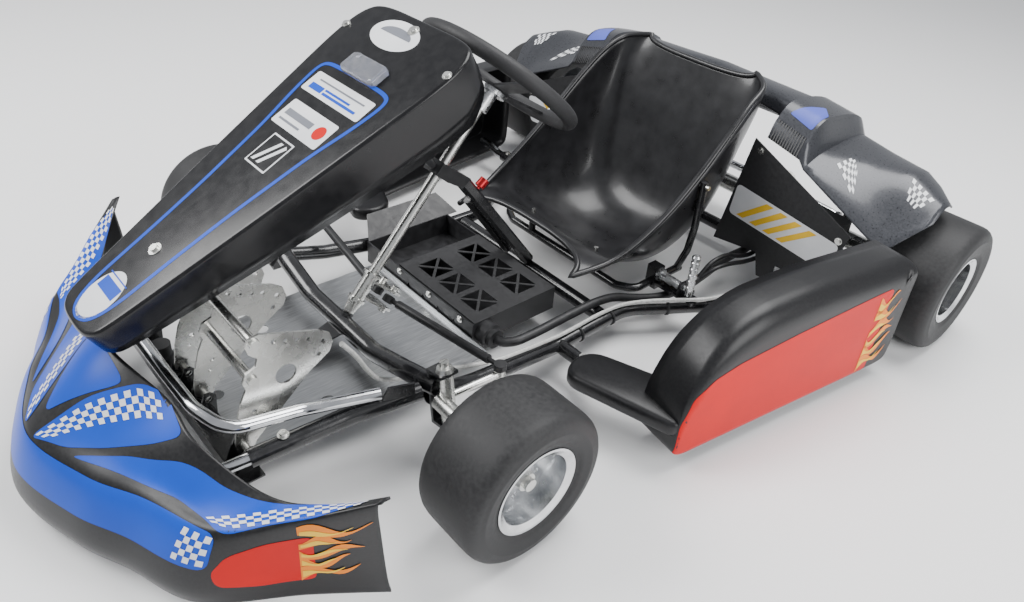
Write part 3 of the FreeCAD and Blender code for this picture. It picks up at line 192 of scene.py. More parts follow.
# ---------------------------------------------------------------- trays and housings
# The electronics tray is folded sheet with a satin black coat. Its braced cover, the bay covers
# and the battery box are black board and moulded housings.
satin_coat = finish("satin_coat", (0.012, 0.012, 0.013), (0.024, 0.024, 0.026), (0.34, 0.5),
                    grain=70, depth=0.0001)
coat_nodes(satin_coat, "electronics_tray", "column_bearing", "left_tie_rod", "right_tie_rod",
           "steering_spider")
board = finish("black_board", (0.016, 0.016, 0.017), (0.030, 0.030, 0.032), (0.5, 0.68), grain=120,
               depth=0.0002)
coat_nodes(board, "tray_cover", "bay_covers", "battery_pack", "throttle_sensor")

# ---------------------------------------------------------------- cables
# Ribbed conduit from the connector, a white sleeved brake cable, and the battery and throttle
# leads, all clipped along the left rail.
conduit = finish("conduit", (0.012, 0.012, 0.013), (0.028, 0.028, 0.030), (0.38, 0.55), grain=90,
                 depth=0.0004)
coat_nodes(conduit, "wiring_loom", "drive_belt")
sleeve = finish("cable_sleeve", (0.50, 0.50, 0.48), (0.68, 0.68, 0.66), (0.30, 0.45), grain=200,
                depth=0.0002)
coat_nodes(sleeve, "brake_cable")
lead = finish("lead_skin", (0.012, 0.012, 0.013), (0.022, 0.022, 0.024), (0.3, 0.45), grain=150)
coat_nodes(lead, "power_cables")

# ---------------------------------------------------------------- stop button and lamp
# Red anodised knob on the post, and the clear moulded lamp at the top of the number panel.
red_anodised = finish("red_anodised", (0.34, 0.010, 0.014), (0.50, 0.018, 0.022), (0.22, 0.34),
                      metallic=0.6, grain=90)
coat_nodes(red_anodised, "stop_button")
clear_lens = finish("clear_lens", (0.60, 0.62, 0.70), (0.86, 0.87, 0.92), (0.04, 0.12), grain=90)
lens_shader = clear_lens.node_tree.nodes["Principled BSDF"]
lens_shader.inputs["Transmission Weight"].default_value = 0.85
lens_shader.inputs["IOR"].default_value = 1.45
coat_nodes(clear_lens, "panel_light")


# ---------------------------------------------------------------- tyres
# Moulded slick tyres of soft rubber: flat tread, round shoulders, and raised rings on the
# sidewall down to the bead on the rim.
def piece_from(name, points, faces, material):
    """A mesh piece in its place, with its doubles merged and its faces turned outwards."""
    mesh = bpy.data.meshes.new(name)
    mesh.from_pydata(points, [], faces)
    shape = bmesh.new()
    shape.from_mesh(mesh)
    bmesh.ops.remove_doubles(shape, verts=shape.verts, dist=0.00002)
    bmesh.ops.recalc_face_normals(shape, faces=shape.faces)
    shape.to_mesh(mesh)
    shape.free()
    for face in mesh.polygons:
        face.use_smooth = True
    mesh.materials.append(material)
    piece = bpy.data.objects.new(name, mesh)
    bpy.context.scene.collection.objects.link(piece)
    return piece


def spun(centre, outline, count):
    """Points and faces of a closed (x, radius) outline turned about an axis along X."""
    points = []
    faces = []
    for step in range(count):
        angle = 2 * math.pi * step / count
        for x, radius in outline:
            points.append((centre[0] + x, centre[1] + radius * math.cos(angle),
                           centre[2] + radius * math.sin(angle)))
    length = len(outline)
    for step in range(count):
        following = (step + 1) % count
        for index in range(length):
            ahead = (index + 1) % length
            faces.append((step * length + index, step * length + ahead, following * length + ahead,
                          following * length + index))
    return points, faces


def tyre_outline(half, radius):
    """Half of the tyre's outside from bead to crown, mirrored, then the inside back to the bead."""
    side = [(half - 0.0175, 0.0640), (half - 0.0120, 0.0695), (half - 0.0085, 0.0760),
            (half - 0.0062, 0.0790), (half - 0.0062, 0.0812), (half - 0.0046, 0.0826),
            (half - 0.0030, 0.0900), (half - 0.0010, radius - 0.030),
            (half - 0.0002, radius - 0.0270), (half - 0.0002, radius - 0.0245),
            (half - 0.0010, radius - 0.0230), (half - 0.0018, radius - 0.0160),
            (half - 0.0048, radius - 0.0090), (half - 0.0100, radius - 0.0042),
            (half - 0.0160, radius - 0.0016), (half - 0.0240, radius - 0.0004),
            (half * 0.4, radius)]
    inner = [(half - 0.030, radius - 0.008), (half - 0.008, radius - 0.028),
             (half - 0.0160, 0.0860), (half - 0.0280, 0.0640)]
    outside = side + [(-x, r) for x, r in reversed(side)]
    inside = [(-x, r) for x, r in reversed(inner)] + inner
    return outside + inside


rubber = finish("slick_rubber", (0.016, 0.016, 0.017), (0.030, 0.030, 0.031), (0.50, 0.64),
                grain=160, depth=0.00008, shine=0.35)
sides = (("left", 1), ("right", -1))
front_half, front_radius = 0.066, 0.129
rear_half, rear_radius = 0.090, 0.140
tread_steps = 128
front_tyre_low, front_tyre_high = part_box("left_front_tyre")
rear_tyre_low, rear_tyre_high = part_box("rear_tyres")
for side_name, sign in sides:
    centre = (front_tyre_low + front_tyre_high) / 2
    points, faces = spun((sign * centre.x, centre.y, centre.z),
                         tyre_outline(front_half, front_radius), tread_steps)
    tyre = piece_from(side_name + "_front_slick", points, faces, rubber)
    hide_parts(side_name + "_front_tyre")
    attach(tyre, side_name + "_front_wheel")
points, faces = [], []
rear_middle = (rear_tyre_low.y + rear_tyre_high.y) / 2
for sign in (1, -1):
    centre = (sign * (rear_tyre_high.x - rear_half), rear_middle, rear_radius)
    new_points, new_faces = spun(centre, tyre_outline(rear_half, rear_radius), tread_steps)
    faces += [tuple(index + len(points) for index in face) for face in new_faces]
    points += new_points
tyre = piece_from("rear_slicks", points, faces, rubber)
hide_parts("rear_tyres")
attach(tyre, "rear_axle_set")

# ---------------------------------------------------------------- rims
# Cast and turned aluminium rims, bright on the lips; the lathe's fine rings across the disc are not
# drawn, only a fine mottle of tone and roughness.
turned = finish("turned_rim", (0.66, 0.67, 0.68), (0.80, 0.81, 0.82), (0.14, 0.28), metallic=1.0,
                grain=60)
coat_nodes(turned, "left_front_rim", "right_front_rim", "rear_rims")

# ---------------------------------------------------------------- nose
# One blow-moulded shell in black polyethylene: a peaked hood in the middle, a step down to each
# wing and a bumper band round the front. It drops over the bumper loop and is cut level below.
def settled(piece):
    """Turns a piece with modifiers into a plain mesh without them."""
    graph = bpy.context.evaluated_depsgraph_get()
    mesh = bpy.data.meshes.new_from_object(piece.evaluated_get(graph))
    piece.modifiers.clear()
    piece.data = mesh


def thickened(piece, wall):
    """Gives a sheet its wall on the inside."""
    layer = piece.modifiers.new("wall", "SOLIDIFY")
    layer.thickness = wall
    layer.offset = -1
    settled(piece)


def face_out(piece, index, way):
    """Turns a whole skin over if its face at the index looks against the way."""
    if piece.data.polygons[index].normal.dot(Vector(way)) < 0:
        piece.data.flip_normals()


def flowing(values, place):
    """A smooth line through the values at a fractional place along them."""
    first = min(int(place), len(values) - 2)
    part = place - first
    before = values[max(first - 1, 0)]
    start, end = values[first], values[first + 1]
    after = values[min(first + 2, len(values) - 1)]
    return tuple(0.5 * (2 * b + (c - a) * part + (2 * a - 5 * b + 4 * c - d) * part ** 2
                        + (3 * b - a - 3 * c + d) * part ** 3) for a, b, c,
                 d in zip(before, start, end, after))


def grid_faces(rows, columns):
    """Squares between rows of points."""
    return [(row * columns + column, row * columns + column + 1, (row + 1) * columns + column + 1,
             (row + 1) * columns + column)
            for row in range(rows - 1) for column in range(columns - 1)]


def moulded_skin(sections, across, along, smooth_across=True):
    """Points of a skin through the sections, which are given for one side and mirrored."""
    half = [(x, tuple(value for pair in outline for value in pair)) for x, outline in sections]
    whole = [(-x, outline) for x, outline in reversed(half[1:])] + half
    lines = [(x, *outline) for x, outline in whole]
    rows = []
    for step in range((len(lines) - 1) * across + 1):
        place = step / across
        if smooth_across:
            line = flowing(lines, place)
        else:
            first = min(int(place), len(lines) - 2)
            line = tuple(a + (b - a) * (place - first) for a,
                         b in zip(lines[first], lines[first + 1]))
        outline = [(line[1 + 2 * index], line[2 + 2 * index])
                   for index in range((len(line) - 1) // 2)]
        for inner in range((len(outline) - 1) * along + 1):
            y, z = flowing(outline, inner / along)
            rows.append((line[0] / 1000, y / 1000, z / 1000))
    return rows, (len(lines) - 1) * across + 1, (len(sections[0][1]) - 1) * along + 1


nose_sections = (
    (0, ((-860, 25), (-864, 62), (-838, 130), (-798, 168), (-742, 214), (-700, 238))),
    (130, ((-826, 25), (-831, 60), (-800, 132), (-756, 160), (-705, 192), (-670, 212))),
    (215, ((-785, 25), (-790, 60), (-754, 132), (-722, 150), (-696, 174), (-668, 196))),
    (320, ((-735, 25), (-738, 60), (-708, 132), (-684, 146), (-655, 152), (-622, 156))),
    (400, ((-616, 25), (-620, 60), (-622, 145), (-618, 176), (-598, 182), (-578, 180))),
    (466, ((-526, 25), (-532, 60), (-540, 150), (-544, 208), (-536, 218), (-526, 219))))
points, rows, columns = moulded_skin(nose_sections, across=10, along=6)
moulded_black = finish("moulded_black", (0.007, 0.007, 0.008), (0.013, 0.013, 0.014), (0.30, 0.38),
                       grain=220, depth=0.00006, shine=0.36)
nose = piece_from("nose_shell", points, grid_faces(rows, columns), moulded_black)
face_out(nose, len(nose.data.polygons) // 2, (0, -1, 0))


def skin_of(piece):
    """What film needs to know of the skin it lies on: its faces and their smooth normals."""
    mesh = piece.data
    places = [vertex.co.copy() for vertex in mesh.vertices]
    faces = [tuple(face.vertices) for face in mesh.polygons]
    normals = [vertex.normal.copy() for vertex in mesh.vertices]
    return BVHTree.FromPolygons(places, faces), places, normals, faces


nose_skin = skin_of(nose)
thickened(nose, 0.0038)
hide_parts("nose_fairing")
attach(nose, "chassis")


# ---------------------------------------------------------------- nose film
# Printed vinyl film laid on the shell in panels: royal blue with bands of blue and white checks
# on the decks and round the front, and red with flames on the outer ends.
def film(name, colour, rough=0.30):
    """Glossy printed film: nearly even colour with the slight ripple of the shell below."""
    low = tuple(value * 0.86 for value in colour)
    return finish(name, low, colour, (rough, rough + 0.06), grain=9, depth=0.00006, shine=0.16)


def rounded(outline, radius, steps=5):
    """The outline with its corners turned into short curves."""
    result = []
    for index, corner in enumerate(outline):
        here = Vector(corner)
        previous = Vector(outline[index - 1])
        following = Vector(outline[(index + 1) % len(outline)])
        start = here + (previous - here).normalized() * min(radius, (previous - here).length * 0.45)
        end = here + (following - here).normalized() * min(radius, (following - here).length * 0.45)
        for step in range(steps + 1):
            share = step / steps
            point = start.lerp(here, share).lerp(here.lerp(end, share), share)
            result.append((point.x, point.y))
    return result


def laid(name, outlines, ray, skin, lift, material, cell=0):
    """Flat outlines in millimetres, laid along a ray on a skin, in cells of a size in metres."""
    shape = bmesh.new()
    for outline in outlines:
        shape.faces.new([shape.verts.new((u / 1000, v / 1000, 0)) for u, v in outline])
    if cell:
        bmesh.ops.triangulate(shape, faces=shape.faces)
        for axis in (0, 1):
            low = min(vertex.co[axis] for vertex in shape.verts)
            high = max(vertex.co[axis] for vertex in shape.verts)
            normal = (1, 0, 0) if axis == 0 else (0, 1, 0)
            for cut in range(1, int((high - low) / cell) + 1):
                place = tuple(value * (low + cut * cell) for value in normal)
                bmesh.ops.bisect_plane(shape, geom=shape.verts[:] + shape.edges[:] + shape.faces[:],
                                       plane_co=place, plane_no=normal, dist=0.00001)
    tree, places, normals, faces = skin
    missed, smooth = [], {}
    for vertex in shape.verts:
        origin, way = ray(vertex.co.x, vertex.co.y)
        hit, _, index, _ = tree.ray_cast(Vector(origin), Vector(way))
        if hit is None:
            missed.append(vertex)
            continue
        shares = poly_3d_calc([places[corner] for corner in faces[index]], hit)
        normal = sum((normals[corner] * share for corner, share in zip(faces[index], shares)),
                     Vector()).normalized()
        vertex.co = hit + normal * lift
        smooth[vertex] = normal
    bmesh.ops.delete(shape, geom=missed, context="VERTS")
    shape.normal_update()
    for face in shape.faces:
        if face.normal.dot(smooth[face.verts[0]]) < 0:
            face.normal_flip()
    mesh = bpy.data.meshes.new(name)
    outward = [tuple(smooth[vertex]) for vertex in shape.verts]
    shape.to_mesh(mesh)
    shape.free()
    for face in mesh.polygons:
        face.use_smooth = True
    mesh.normals_split_custom_set_from_vertices(outward)
    mesh.materials.append(material)
    piece = bpy.data.objects.new(name, mesh)
    bpy.context.scene.collection.objects.link(piece)
    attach(piece, "chassis")


def check_cells(inner, outer, rows, size):
    """Every other square of a band between two lines of points."""
    def at_share(line, share):
        lengths = [(Vector(b) - Vector(a)).length for a, b in zip(line, line[1:])]
        wanted = share * sum(lengths)
        for index, length in enumerate(lengths):
            if wanted <= length or index == len(lengths) - 1:
                return Vector(line[index]).lerp(Vector(line[index + 1]), min(wanted / length, 1))
            wanted -= length
    length = sum((Vector(b) - Vector(a)).length for a, b in zip(inner, inner[1:]))
    count = max(int(round(length / size)), 1)
    cells = []
    for column in range(count):
        for row in range(rows):
            if (row + column) % 2:
                continue
            corners = []
            for share, height in ((column, row), (column + 1, row), (column + 1, row + 1),
                                  (column, row + 1)):
                a, b = at_share(inner, share / count), at_share(outer, share / count)
                corners.append(tuple(a.lerp(b, height / rows)))
            cells.append(corners)
    return cells


def tongues(base, reach, low, high, count, lean, seed, thin=1.0):
    """Flame tongues from a base line, with wavy sides and thin turned-up tips."""
    chance = random.Random(seed)
    flames = []
    for index in range(count):
        height = low + (high - low) * (index + 0.5) / count
        width = (high - low) / count * 0.62 * thin
        length = reach * (0.72 + 0.4 * chance.random()) * (0.72 if index % 2 else 1)
        left, right = [], []
        for step in range(15):
            share = step / 14
            sway = width * 0.55 * math.sin(share * 6.5 + index * 1.7)
            middle = height + lean * length * share ** 2 + sway
            half = width * (1 - share) ** 0.8 * (0.75 + 0.35 * math.cos(share * 7 + index)) + 0.3
            left.append((base + length * share, middle + half))
            right.append((base + length * share, middle - half))
        flames.append(left + right[::-1])
    return flames


blue_film = film("blue_film", (0.010, 0.075, 0.56))
white_film = film("white_film", (0.86, 0.87, 0.89))
red_film = film("red_film", (0.66, 0.005, 0.004))
orange_film = film("orange_film", (0.95, 0.27, 0.02))
yellow_film = film("yellow_film", (1.0, 0.62, 0.05))
film_cell, flame_cell = 0.006, 0.01
film_lift, flame_lift, check_lift, heart_lift = 0.0006, 0.0011, 0.0012, 0.0015


def down(x, y):
    """A ray from above the kart."""
    return (x, y, 1), (0, 0, -1)


def backwards(x, z):
    """A ray from in front of the kart."""
    return (x, -1.2, z), (0, 1, 0)


wing = ((92, -796), (154, -738), (219, -691), (244, -677), (280, -662), (312, -641), (361, -606),
        (452, -543), (414, -602), (366, -651), (338, -687), (323, -696), (297, -699), (247, -713),
        (172, -752), (105, -790))
deck = ((14, -829), (74, -799), (116, -761), (168, -707), (194, -677), (124, -667), (86, -687),
        (44, -752))
hood = ((0, -804), (60, -722), (66, -706), (-66, -706), (-60, -722))
front_band = ((-330, 88), (330, 88), (328, 140), (-328, 140))
wing_outer = ((312, -694), (334, -681), (381, -633), (424, -586), (452, -547))
wing_inner = ((296, -697), (318, -672), (354, -626), (398, -585), (446, -546))
deck_inner = ((20, -822), (50, -758), (88, -694), (116, -675))
deck_outer = ((42, -812), (80, -762), (124, -706), (150, -686))
blue_parts = [rounded(hood, 16)]
check_parts = []
for sign in (1, -1):
    blue_parts += [rounded([(sign * x, y) for x, y in line], 14) for line in (wing, deck)]
    check_parts += check_cells([(sign * x, y) for x, y in deck_inner],
                               [(sign * x, y) for x, y in deck_outer], 4, 9)
    check_parts += check_cells([(sign * x, y) for x, y in wing_inner],
                               [(sign * x, y) for x, y in wing_outer], 4, 10)
laid("nose_blue_film", blue_parts, down, nose_skin, film_lift, blue_film, cell=film_cell)
laid("nose_white_checks", check_parts, down, nose_skin, check_lift, white_film)
laid("nose_band_film", [rounded(front_band, 14)], backwards, nose_skin, film_lift, blue_film,
     cell=film_cell)
band_checks = []
for sign in (1, -1):
    band_checks += check_cells([(sign * 286, 94), (sign * 325, 94)],
                               [(sign * 286, 136), (sign * 325, 136)], 5, 8)
laid("nose_band_checks", band_checks, backwards, nose_skin, check_lift, white_film)
red_end = ((-714, 62), (-717, 84), (-696, 112), (-657, 134), (-608, 152), (-606, 64), (-665, 58))
for side_name, sign in sides:
    def sideways(y, z):
        """A ray from beside the kart."""
        return (sign * 1.0, y, z), (-sign, 0, 0)
    laid(side_name + "_nose_red_film", [rounded(red_end, 10)], sideways, nose_skin, film_lift,
         red_film, cell=film_cell)
    laid(side_name + "_nose_flames", tongues(base=-622, reach=76, low=66, high=168, count=5,
                                             lean=0.30, seed=3), sideways, nose_skin, flame_lift,
         orange_film, cell=flame_cell)
    laid(side_name + "_nose_flame_hearts", tongues(base=-620, reach=54, low=66, high=166, count=5,
                                                   lean=0.30, seed=3, thin=0.45), sideways,
         nose_skin, heart_lift, yellow_film, cell=flame_cell)

# ---------------------------------------------------------------- number panel
# Deep-drawn plastic panel over the legs, with a rolled edge and flanges down both sides; its satin
# top and gloss edge are drawn in one glossy black finish. It is screwed to the hoop and to the
# nose.
panel_slope = math.radians(29.3)
panel_turn = Matrix.Translation((0, -0.744, 0.297)) @ Matrix.Rotation(panel_slope, 4, "X")
panel_half = ((34, 4), (56, 16), (66, 34), (112, 330), (150, 600), (146, 660), (118, 690))
panel_outline = rounded(list(panel_half) + [(-x, y) for x, y in reversed(panel_half)], 60, 7)
flange_edge = ((-20, 44), (120, 62), (330, 82), (560, 101), (620, 98), (668, 70), (688, 24),
               (760, 12))


def depth_at(along):
    """How deep the flange is at a place along the panel."""
    for (s0, d0), (s1, d1) in zip(flange_edge, flange_edge[1:]):
        if along <= s1:
            return d0 + (d1 - d0) * (along - s0) / (s1 - s0)
    return flange_edge[-1][1]


def inward(outline, inset):
    """The outline moved inwards, for outlines that run anticlockwise."""
    result = []
    for index, (x, y) in enumerate(outline):
        before, after = Vector(outline[index - 1]), Vector(outline[(index + 1) % len(outline)])
        way = (after - before).normalized()
        result.append((x - way.y * inset, y + way.x * inset))
    return result


def ring_faces(count, length):
    """Squares between closed rings of points."""
    return [(ring * length + index, ring * length + (index + 1) % length,
             (ring + 1) * length + (index + 1) % length, (ring + 1) * length + index)
            for ring in range(count - 1) for index in range(length)]


def distinct(outline):
    """The outline without points that fall on the one before."""
    return [point for index, point in enumerate(outline)
            if (Vector(point) - Vector(outline[index - 1])).length > 0.2]


panel_outline = distinct(panel_outline)
edge_roll = 6
panel_rings = [[(x, y, 0) for x, y in inward(panel_outline, edge_roll + 1)]]
for step in range(6):
    lean = math.radians(15 * (step + 1))
    inset = edge_roll * (1 - math.sin(lean))
    drop = edge_roll * (1 - math.cos(lean))
    panel_rings.append([(x, y, -drop) for x, y in inward(panel_outline, inset)])
for share in (0.35, 0.7, 1):
    panel_rings.append([(x, y, -edge_roll - (depth_at(y) - edge_roll) * share)
                        for x, y in panel_outline])
points = [panel_turn @ (Vector(point) / 1000) for ring in panel_rings for point in ring]
faces = ring_faces(len(panel_rings), len(panel_outline)) + [tuple(range(len(panel_outline)))]
panel_black = finish("panel_black", (0.006, 0.006, 0.007), (0.011, 0.011, 0.012), (0.20, 0.26),
                     grain=60, depth=0.00004, shine=0.36)
panel = piece_from("number_panel", points, faces, panel_black)
panel.data.set_sharp_from_angle(angle=math.radians(40))
panel_skin = skin_of(panel)
thickened(panel, 0.0018)
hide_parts("front_panel")
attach(panel, "chassis")


def on_panel(u, v):
    """A ray square to the panel's top."""
    start = panel_turn @ Vector((u, v, 0.2))
    return start, panel_turn.to_3x3() @ Vector((0, 0, -1))


stripe_half = ((30, 22), (44, 62), (50, 170), (58, 265), (75, 396), (92, 470), (99, 523),
               (92, 541), (70, 547))
stripe_line = [(0, 10)] + list(stripe_half) + [(-x, y) for x, y in reversed(stripe_half)]
stripe = distinct(rounded(stripe_line, 30, 5))
stripe_width = 7
stripe_inside = inward(stripe, stripe_width)
stripe_parts = [(stripe[i - 1], stripe[i], stripe_inside[i], stripe_inside[i - 1])
                for i in range(len(stripe))]
sticker_lift, print_lift, bar_lift = 0.0003, 0.0006, 0.0009
laid("panel_pinstripe", stripe_parts, on_panel, panel_skin, sticker_lift, blue_film)


def box_line(x0, x1, y0, y1):
    return [(x0, y0), (x1, y0), (x1, y1), (x0, y1)]


def ellipse(x, y, a, b, count=40):
    return [(x + a * math.cos(2 * math.pi * i / count), y + b * math.sin(2 * math.pi * i / count))
            for i in range(count)]


white_stickers = [ellipse(-24, 641, 58, 32), rounded(box_line(-82, 82, 480, 522), 5),
                  rounded(box_line(-66, 66, 408, 460), 5), rounded(box_line(-30, 30, 334, 396), 2),
                  ellipse(0, 58, 33, 42)]
laid("panel_white_stickers", white_stickers, on_panel, panel_skin, sticker_lift, white_film)
grey_print = film("grey_print", (0.20, 0.21, 0.24))
print_blue = [box_line(-70, -34, 488, 500), box_line(-30, 64, 488, 493),
              box_line(-30, 40, 496, 500), box_line(-26, 26, 62, 82), box_line(-28, 28, 88, 90)]
print_grey = [ellipse(-24, 641, 40, 17)[:21] + [(-64, 641)], box_line(-56, 20, 430, 442),
              box_line(-56, 4, 418, 422), box_line(-62, 66, 508, 511)]
laid("panel_blue_print", print_blue, on_panel, panel_skin, print_lift, blue_film)
laid("panel_grey_print", print_grey, on_panel, panel_skin, print_lift, grey_print)
laid("panel_red_print", [ellipse(44, 434, 13, 13)], on_panel, panel_skin, print_lift, red_film)
dark_print = [rounded(box_line(-27, 27, 337, 393), 2)]
laid("panel_dark_print", dark_print, on_panel, panel_skin, print_lift, panel_black)
print_bars = [((-22, 342), (-14, 342), (10, 388), (2, 388)),
              ((-6, 342), (2, 342), (24, 384), (18, 388))]
laid("panel_bar_print", print_bars, on_panel, panel_skin, bar_lift, white_film)

# ---------------------------------------------------------------- side bumpers
# Rotomoulded black side bumpers with a broad rounded rim, open towards the kart, each with a
# foot shelf in front. Red film with flames covers the flat outer face.
pod_line = ((4, 0), (565, 0), (580, 18), (580, 238), (300, 250), (170, 244), (100, 218), (48, 172),
            (14, 100))
pod_outline = distinct(rounded(pod_line, 34, 7))
shelf_line = ((344, -84), (316, -40), (330, 6), (460, 56), (556, 70), (549, -28), (520, -36))
red_face = ((9, 10), (13, 74), (32, 124), (66, 154), (120, 168), (257, 182), (440, 196), (510, 199),
            (510, 5), (24, 4))
pod_x, pod_y, pod_z = 551, -33, 30
pod_sine, pod_cosine = 0.1616, 0.98686
for side_name, sign in sides:
    def pod_point(along, height, outward):
        """A place on the bumper, which runs outwards as it goes back."""
        x = pod_x + pod_sine * along + pod_cosine * outward
        y = pod_y + pod_cosine * along - pod_sine * outward
        return Vector((sign * x, y, pod_z + height)) / 1000
    rings = []
    for step in range(9):
        lean = math.radians(90 * step / 8)
        ring = []
        for index, (along, height) in enumerate(pod_outline):
            before = Vector(pod_outline[index - 1])
            after = Vector(pod_outline[(index + 1) % len(pod_outline)])
            way = (after - before).normalized()
            rim_roll = 9 + 40 * max(0, -way.x) ** 1.5
            inset = rim_roll * (1 - math.sin(lean))
            drop = rim_roll * (1 - math.cos(lean)) * 0.8
            ring.append(pod_point(along - way.y * inset, height + way.x * inset, -drop))
        rings.append(ring)
    for depth in (70, 95):
        rings.append([pod_point(along, height, -depth) for along, height in pod_outline])
    points = [point for ring in rings for point in ring]
    faces = ring_faces(len(rings), len(pod_outline)) + [tuple(range(len(pod_outline)))]
    pod = piece_from(side_name + "_side_bumper", points, faces, moulded_black)
    face_out(pod, -1, (sign, 0, 0))
    pod.data.set_sharp_from_angle(angle=math.radians(40))
    pod_skin = skin_of(pod)
    thickened(pod, 0.004)
    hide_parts(side_name + "_sidepod")
    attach(pod, "chassis")
    shelf_outline = [(sign * x, y) for x, y in distinct(rounded(shelf_line, 26, 5))]
    if sign < 0:
        shelf_outline.reverse()
    shelf_rings = []
    for inset, height in ((9, 76), (3, 78), (0, 84), (0, 97), (2.5, 103), (9, 106)):
        shelf_rings.append([(x / 1000, y / 1000, height / 1000) for x,
                            y in inward(shelf_outline, -inset)])
    length = len(shelf_outline)
    points = [point for ring in shelf_rings for point in ring]
    last = (len(shelf_rings) - 1) * length
    faces = ring_faces(len(shelf_rings), length)
    faces += [tuple(range(length)), tuple(range(last, last + length))]
    shelf = piece_from(side_name + "_bumper_shelf", points, faces, moulded_black)
    shelf.data.set_sharp_from_angle(angle=math.radians(50))
    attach(shelf, "chassis")

    def at_pod(along, height):
        """A ray square to the bumper's outer face."""
        start = pod_point(along * 1000, height * 1000, 200)
        return start, pod_point(0, 0, -1) - pod_point(0, 0, 0)
    laid(side_name + "_bumper_red_film", [rounded(red_face, 12)], at_pod, pod_skin, film_lift,
         red_film, cell=0.008)
    laid(side_name + "_bumper_flames", tongues(base=478, reach=92, low=12, high=178, count=6,
                                               lean=0.32, seed=8), at_pod, pod_skin, flame_lift,
         orange_film, cell=flame_cell)
    laid(side_name + "_bumper_flame_hearts", tongues(base=480, reach=66, low=12, high=176, count=6,
                                                     lean=0.32, seed=8, thin=0.45), at_pod,
         pod_skin, heart_lift, yellow_film, cell=flame_cell)

# ---------------------------------------------------------------- seat
# Bucket seat laid up in glass fibre with a satin black skin: deep pan, high side wings, and a
# thick rounded lip all the way round. Bolted to the seat frame through its sides.
seat_stations = (
    ((146, 172), (176, 86, 150)), ((190, 150), (196, 170, 160)), ((256, 100), (208, 240, 190)),
    ((340, 58), (214, 320, 240)), ((430, 50), (215, 402, 305)), ((510, 92), (213, 478, 372)),
    ((556, 200), (208, 540, 420)), ((590, 330), (196, 598, 446)), ((622, 440), (150, 636, 456)))
lines = [pan + rim for pan, rim in seat_stations]
points = []
seat_rows, seat_columns = 65, 49
for row in range(seat_rows):
    pan_y, pan_z, half, rim_y, rim_z = flowing(lines, row / (seat_rows - 1) * (len(lines) - 1))
    for column in range(seat_columns):
        share = -1 + 2 * column / (seat_columns - 1)
        height = abs(share) ** 2.6
        points.append((half * math.sin(share * math.pi / 2) / 1000,
                       (pan_y + (rim_y - pan_y) * height) / 1000,
                       (pan_z + (rim_z - pan_z) * height) / 1000))
seat_skin = finish("seat_skin", (0.011, 0.011, 0.012), (0.021, 0.021, 0.023), (0.26, 0.36),
                   grain=26, depth=0.0004, coat=0.15, shine=0.4)
seat = piece_from("seat_bucket", points, grid_faces(seat_rows, seat_columns), seat_skin)
face_out(seat, len(seat.data.polygons) // 2, (0, 0, 1))
edge_line = [points[column] for column in range(seat_columns)]
edge_line += [points[row * seat_columns + seat_columns - 1] for row in range(1, seat_rows)]
edge_line += [points[(seat_rows - 1) * seat_columns + column] for column in range(seat_columns - 2,
                                                                                  -1, -1)]
edge_line += [points[row * seat_columns] for row in range(seat_rows - 2, 0, -1)]
thickened(seat, 0.005)
lip_curve = bpy.data.curves.new("seat_lip", "CURVE")
lip_curve.dimensions = "3D"
lip_radius = 0.0062
lip_curve.bevel_depth = lip_radius
lip_curve.bevel_resolution = 4
lip_line = lip_curve.splines.new("POLY")
lip_line.points.add(len(edge_line) - 1)
for place, point in zip(lip_line.points, edge_line):
    place.co = (*point, 1)
lip_line.use_cyclic_u = True
lip_object = bpy.data.objects.new("seat_lip", lip_curve)
bpy.context.scene.collection.objects.link(lip_object)
graph = bpy.context.evaluated_depsgraph_get()
lip_mesh = bpy.data.meshes.new_from_object(lip_object.evaluated_get(graph))
bpy.data.objects.remove(lip_object)
lip = bpy.data.objects.new("seat_lip", lip_mesh)
lip_mesh.materials.clear()
lip_mesh.materials.append(seat_skin)
for face in lip_mesh.polygons:
    face.use_smooth = True
bpy.context.scene.collection.objects.link(lip)
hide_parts("seat_shell")
for piece in (seat, lip):
    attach(piece, "seat")

# ---------------------------------------------------------------- rear cowl
# One moulded cover across the tail in graphite with a fine sheen: an air scoop with a slatted
# side on each shoulder, a hump over each wheel, and panels of checks.
cowl_sections = (
    (0, ((694, 396), (712, 420), (760, 412), (815, 372), (848, 300))),
    (236, ((640, 384), (668, 418), (750, 408), (815, 372), (848, 300))),
    (252, ((566, 360), (588, 402), (650, 430), (800, 396), (848, 300))),
    (334, ((566, 342), (590, 384), (650, 416), (800, 384), (848, 292))),
    (350, ((566, 326), (584, 336), (648, 350), (800, 350), (846, 280))),
    (430, ((566, 288), (600, 312), (684, 345), (790, 340), (838, 290))),
    (520, ((566, 246), (600, 276), (684, 345), (760, 342), (806, 306))),
    (560, ((566, 238), (596, 268), (676, 332), (740, 330), (770, 308))),
    (604, ((640, 296), (650, 303), (676, 318), (700, 318), (716, 310))))
points, rows, columns = moulded_skin(cowl_sections, across=4, along=6, smooth_across=False)
graphite = finish("graphite_shell", (0.030, 0.032, 0.038), (0.052, 0.054, 0.062), (0.26, 0.38),
                  metallic=0.35, grain=260, depth=0.00005, coat=0.3)
cowl = piece_from("tail_cowl", points, grid_faces(rows, columns), graphite)
face_out(cowl, len(cowl.data.polygons) // 2, (0, 0, 1))
cowl.data.set_sharp_from_angle(angle=math.radians(38))
cowl_skin = skin_of(cowl)
thickened(cowl, 0.004)
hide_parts("rear_cowl")
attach(cowl, "chassis")
cowl_checks, scoop_tops = [], []
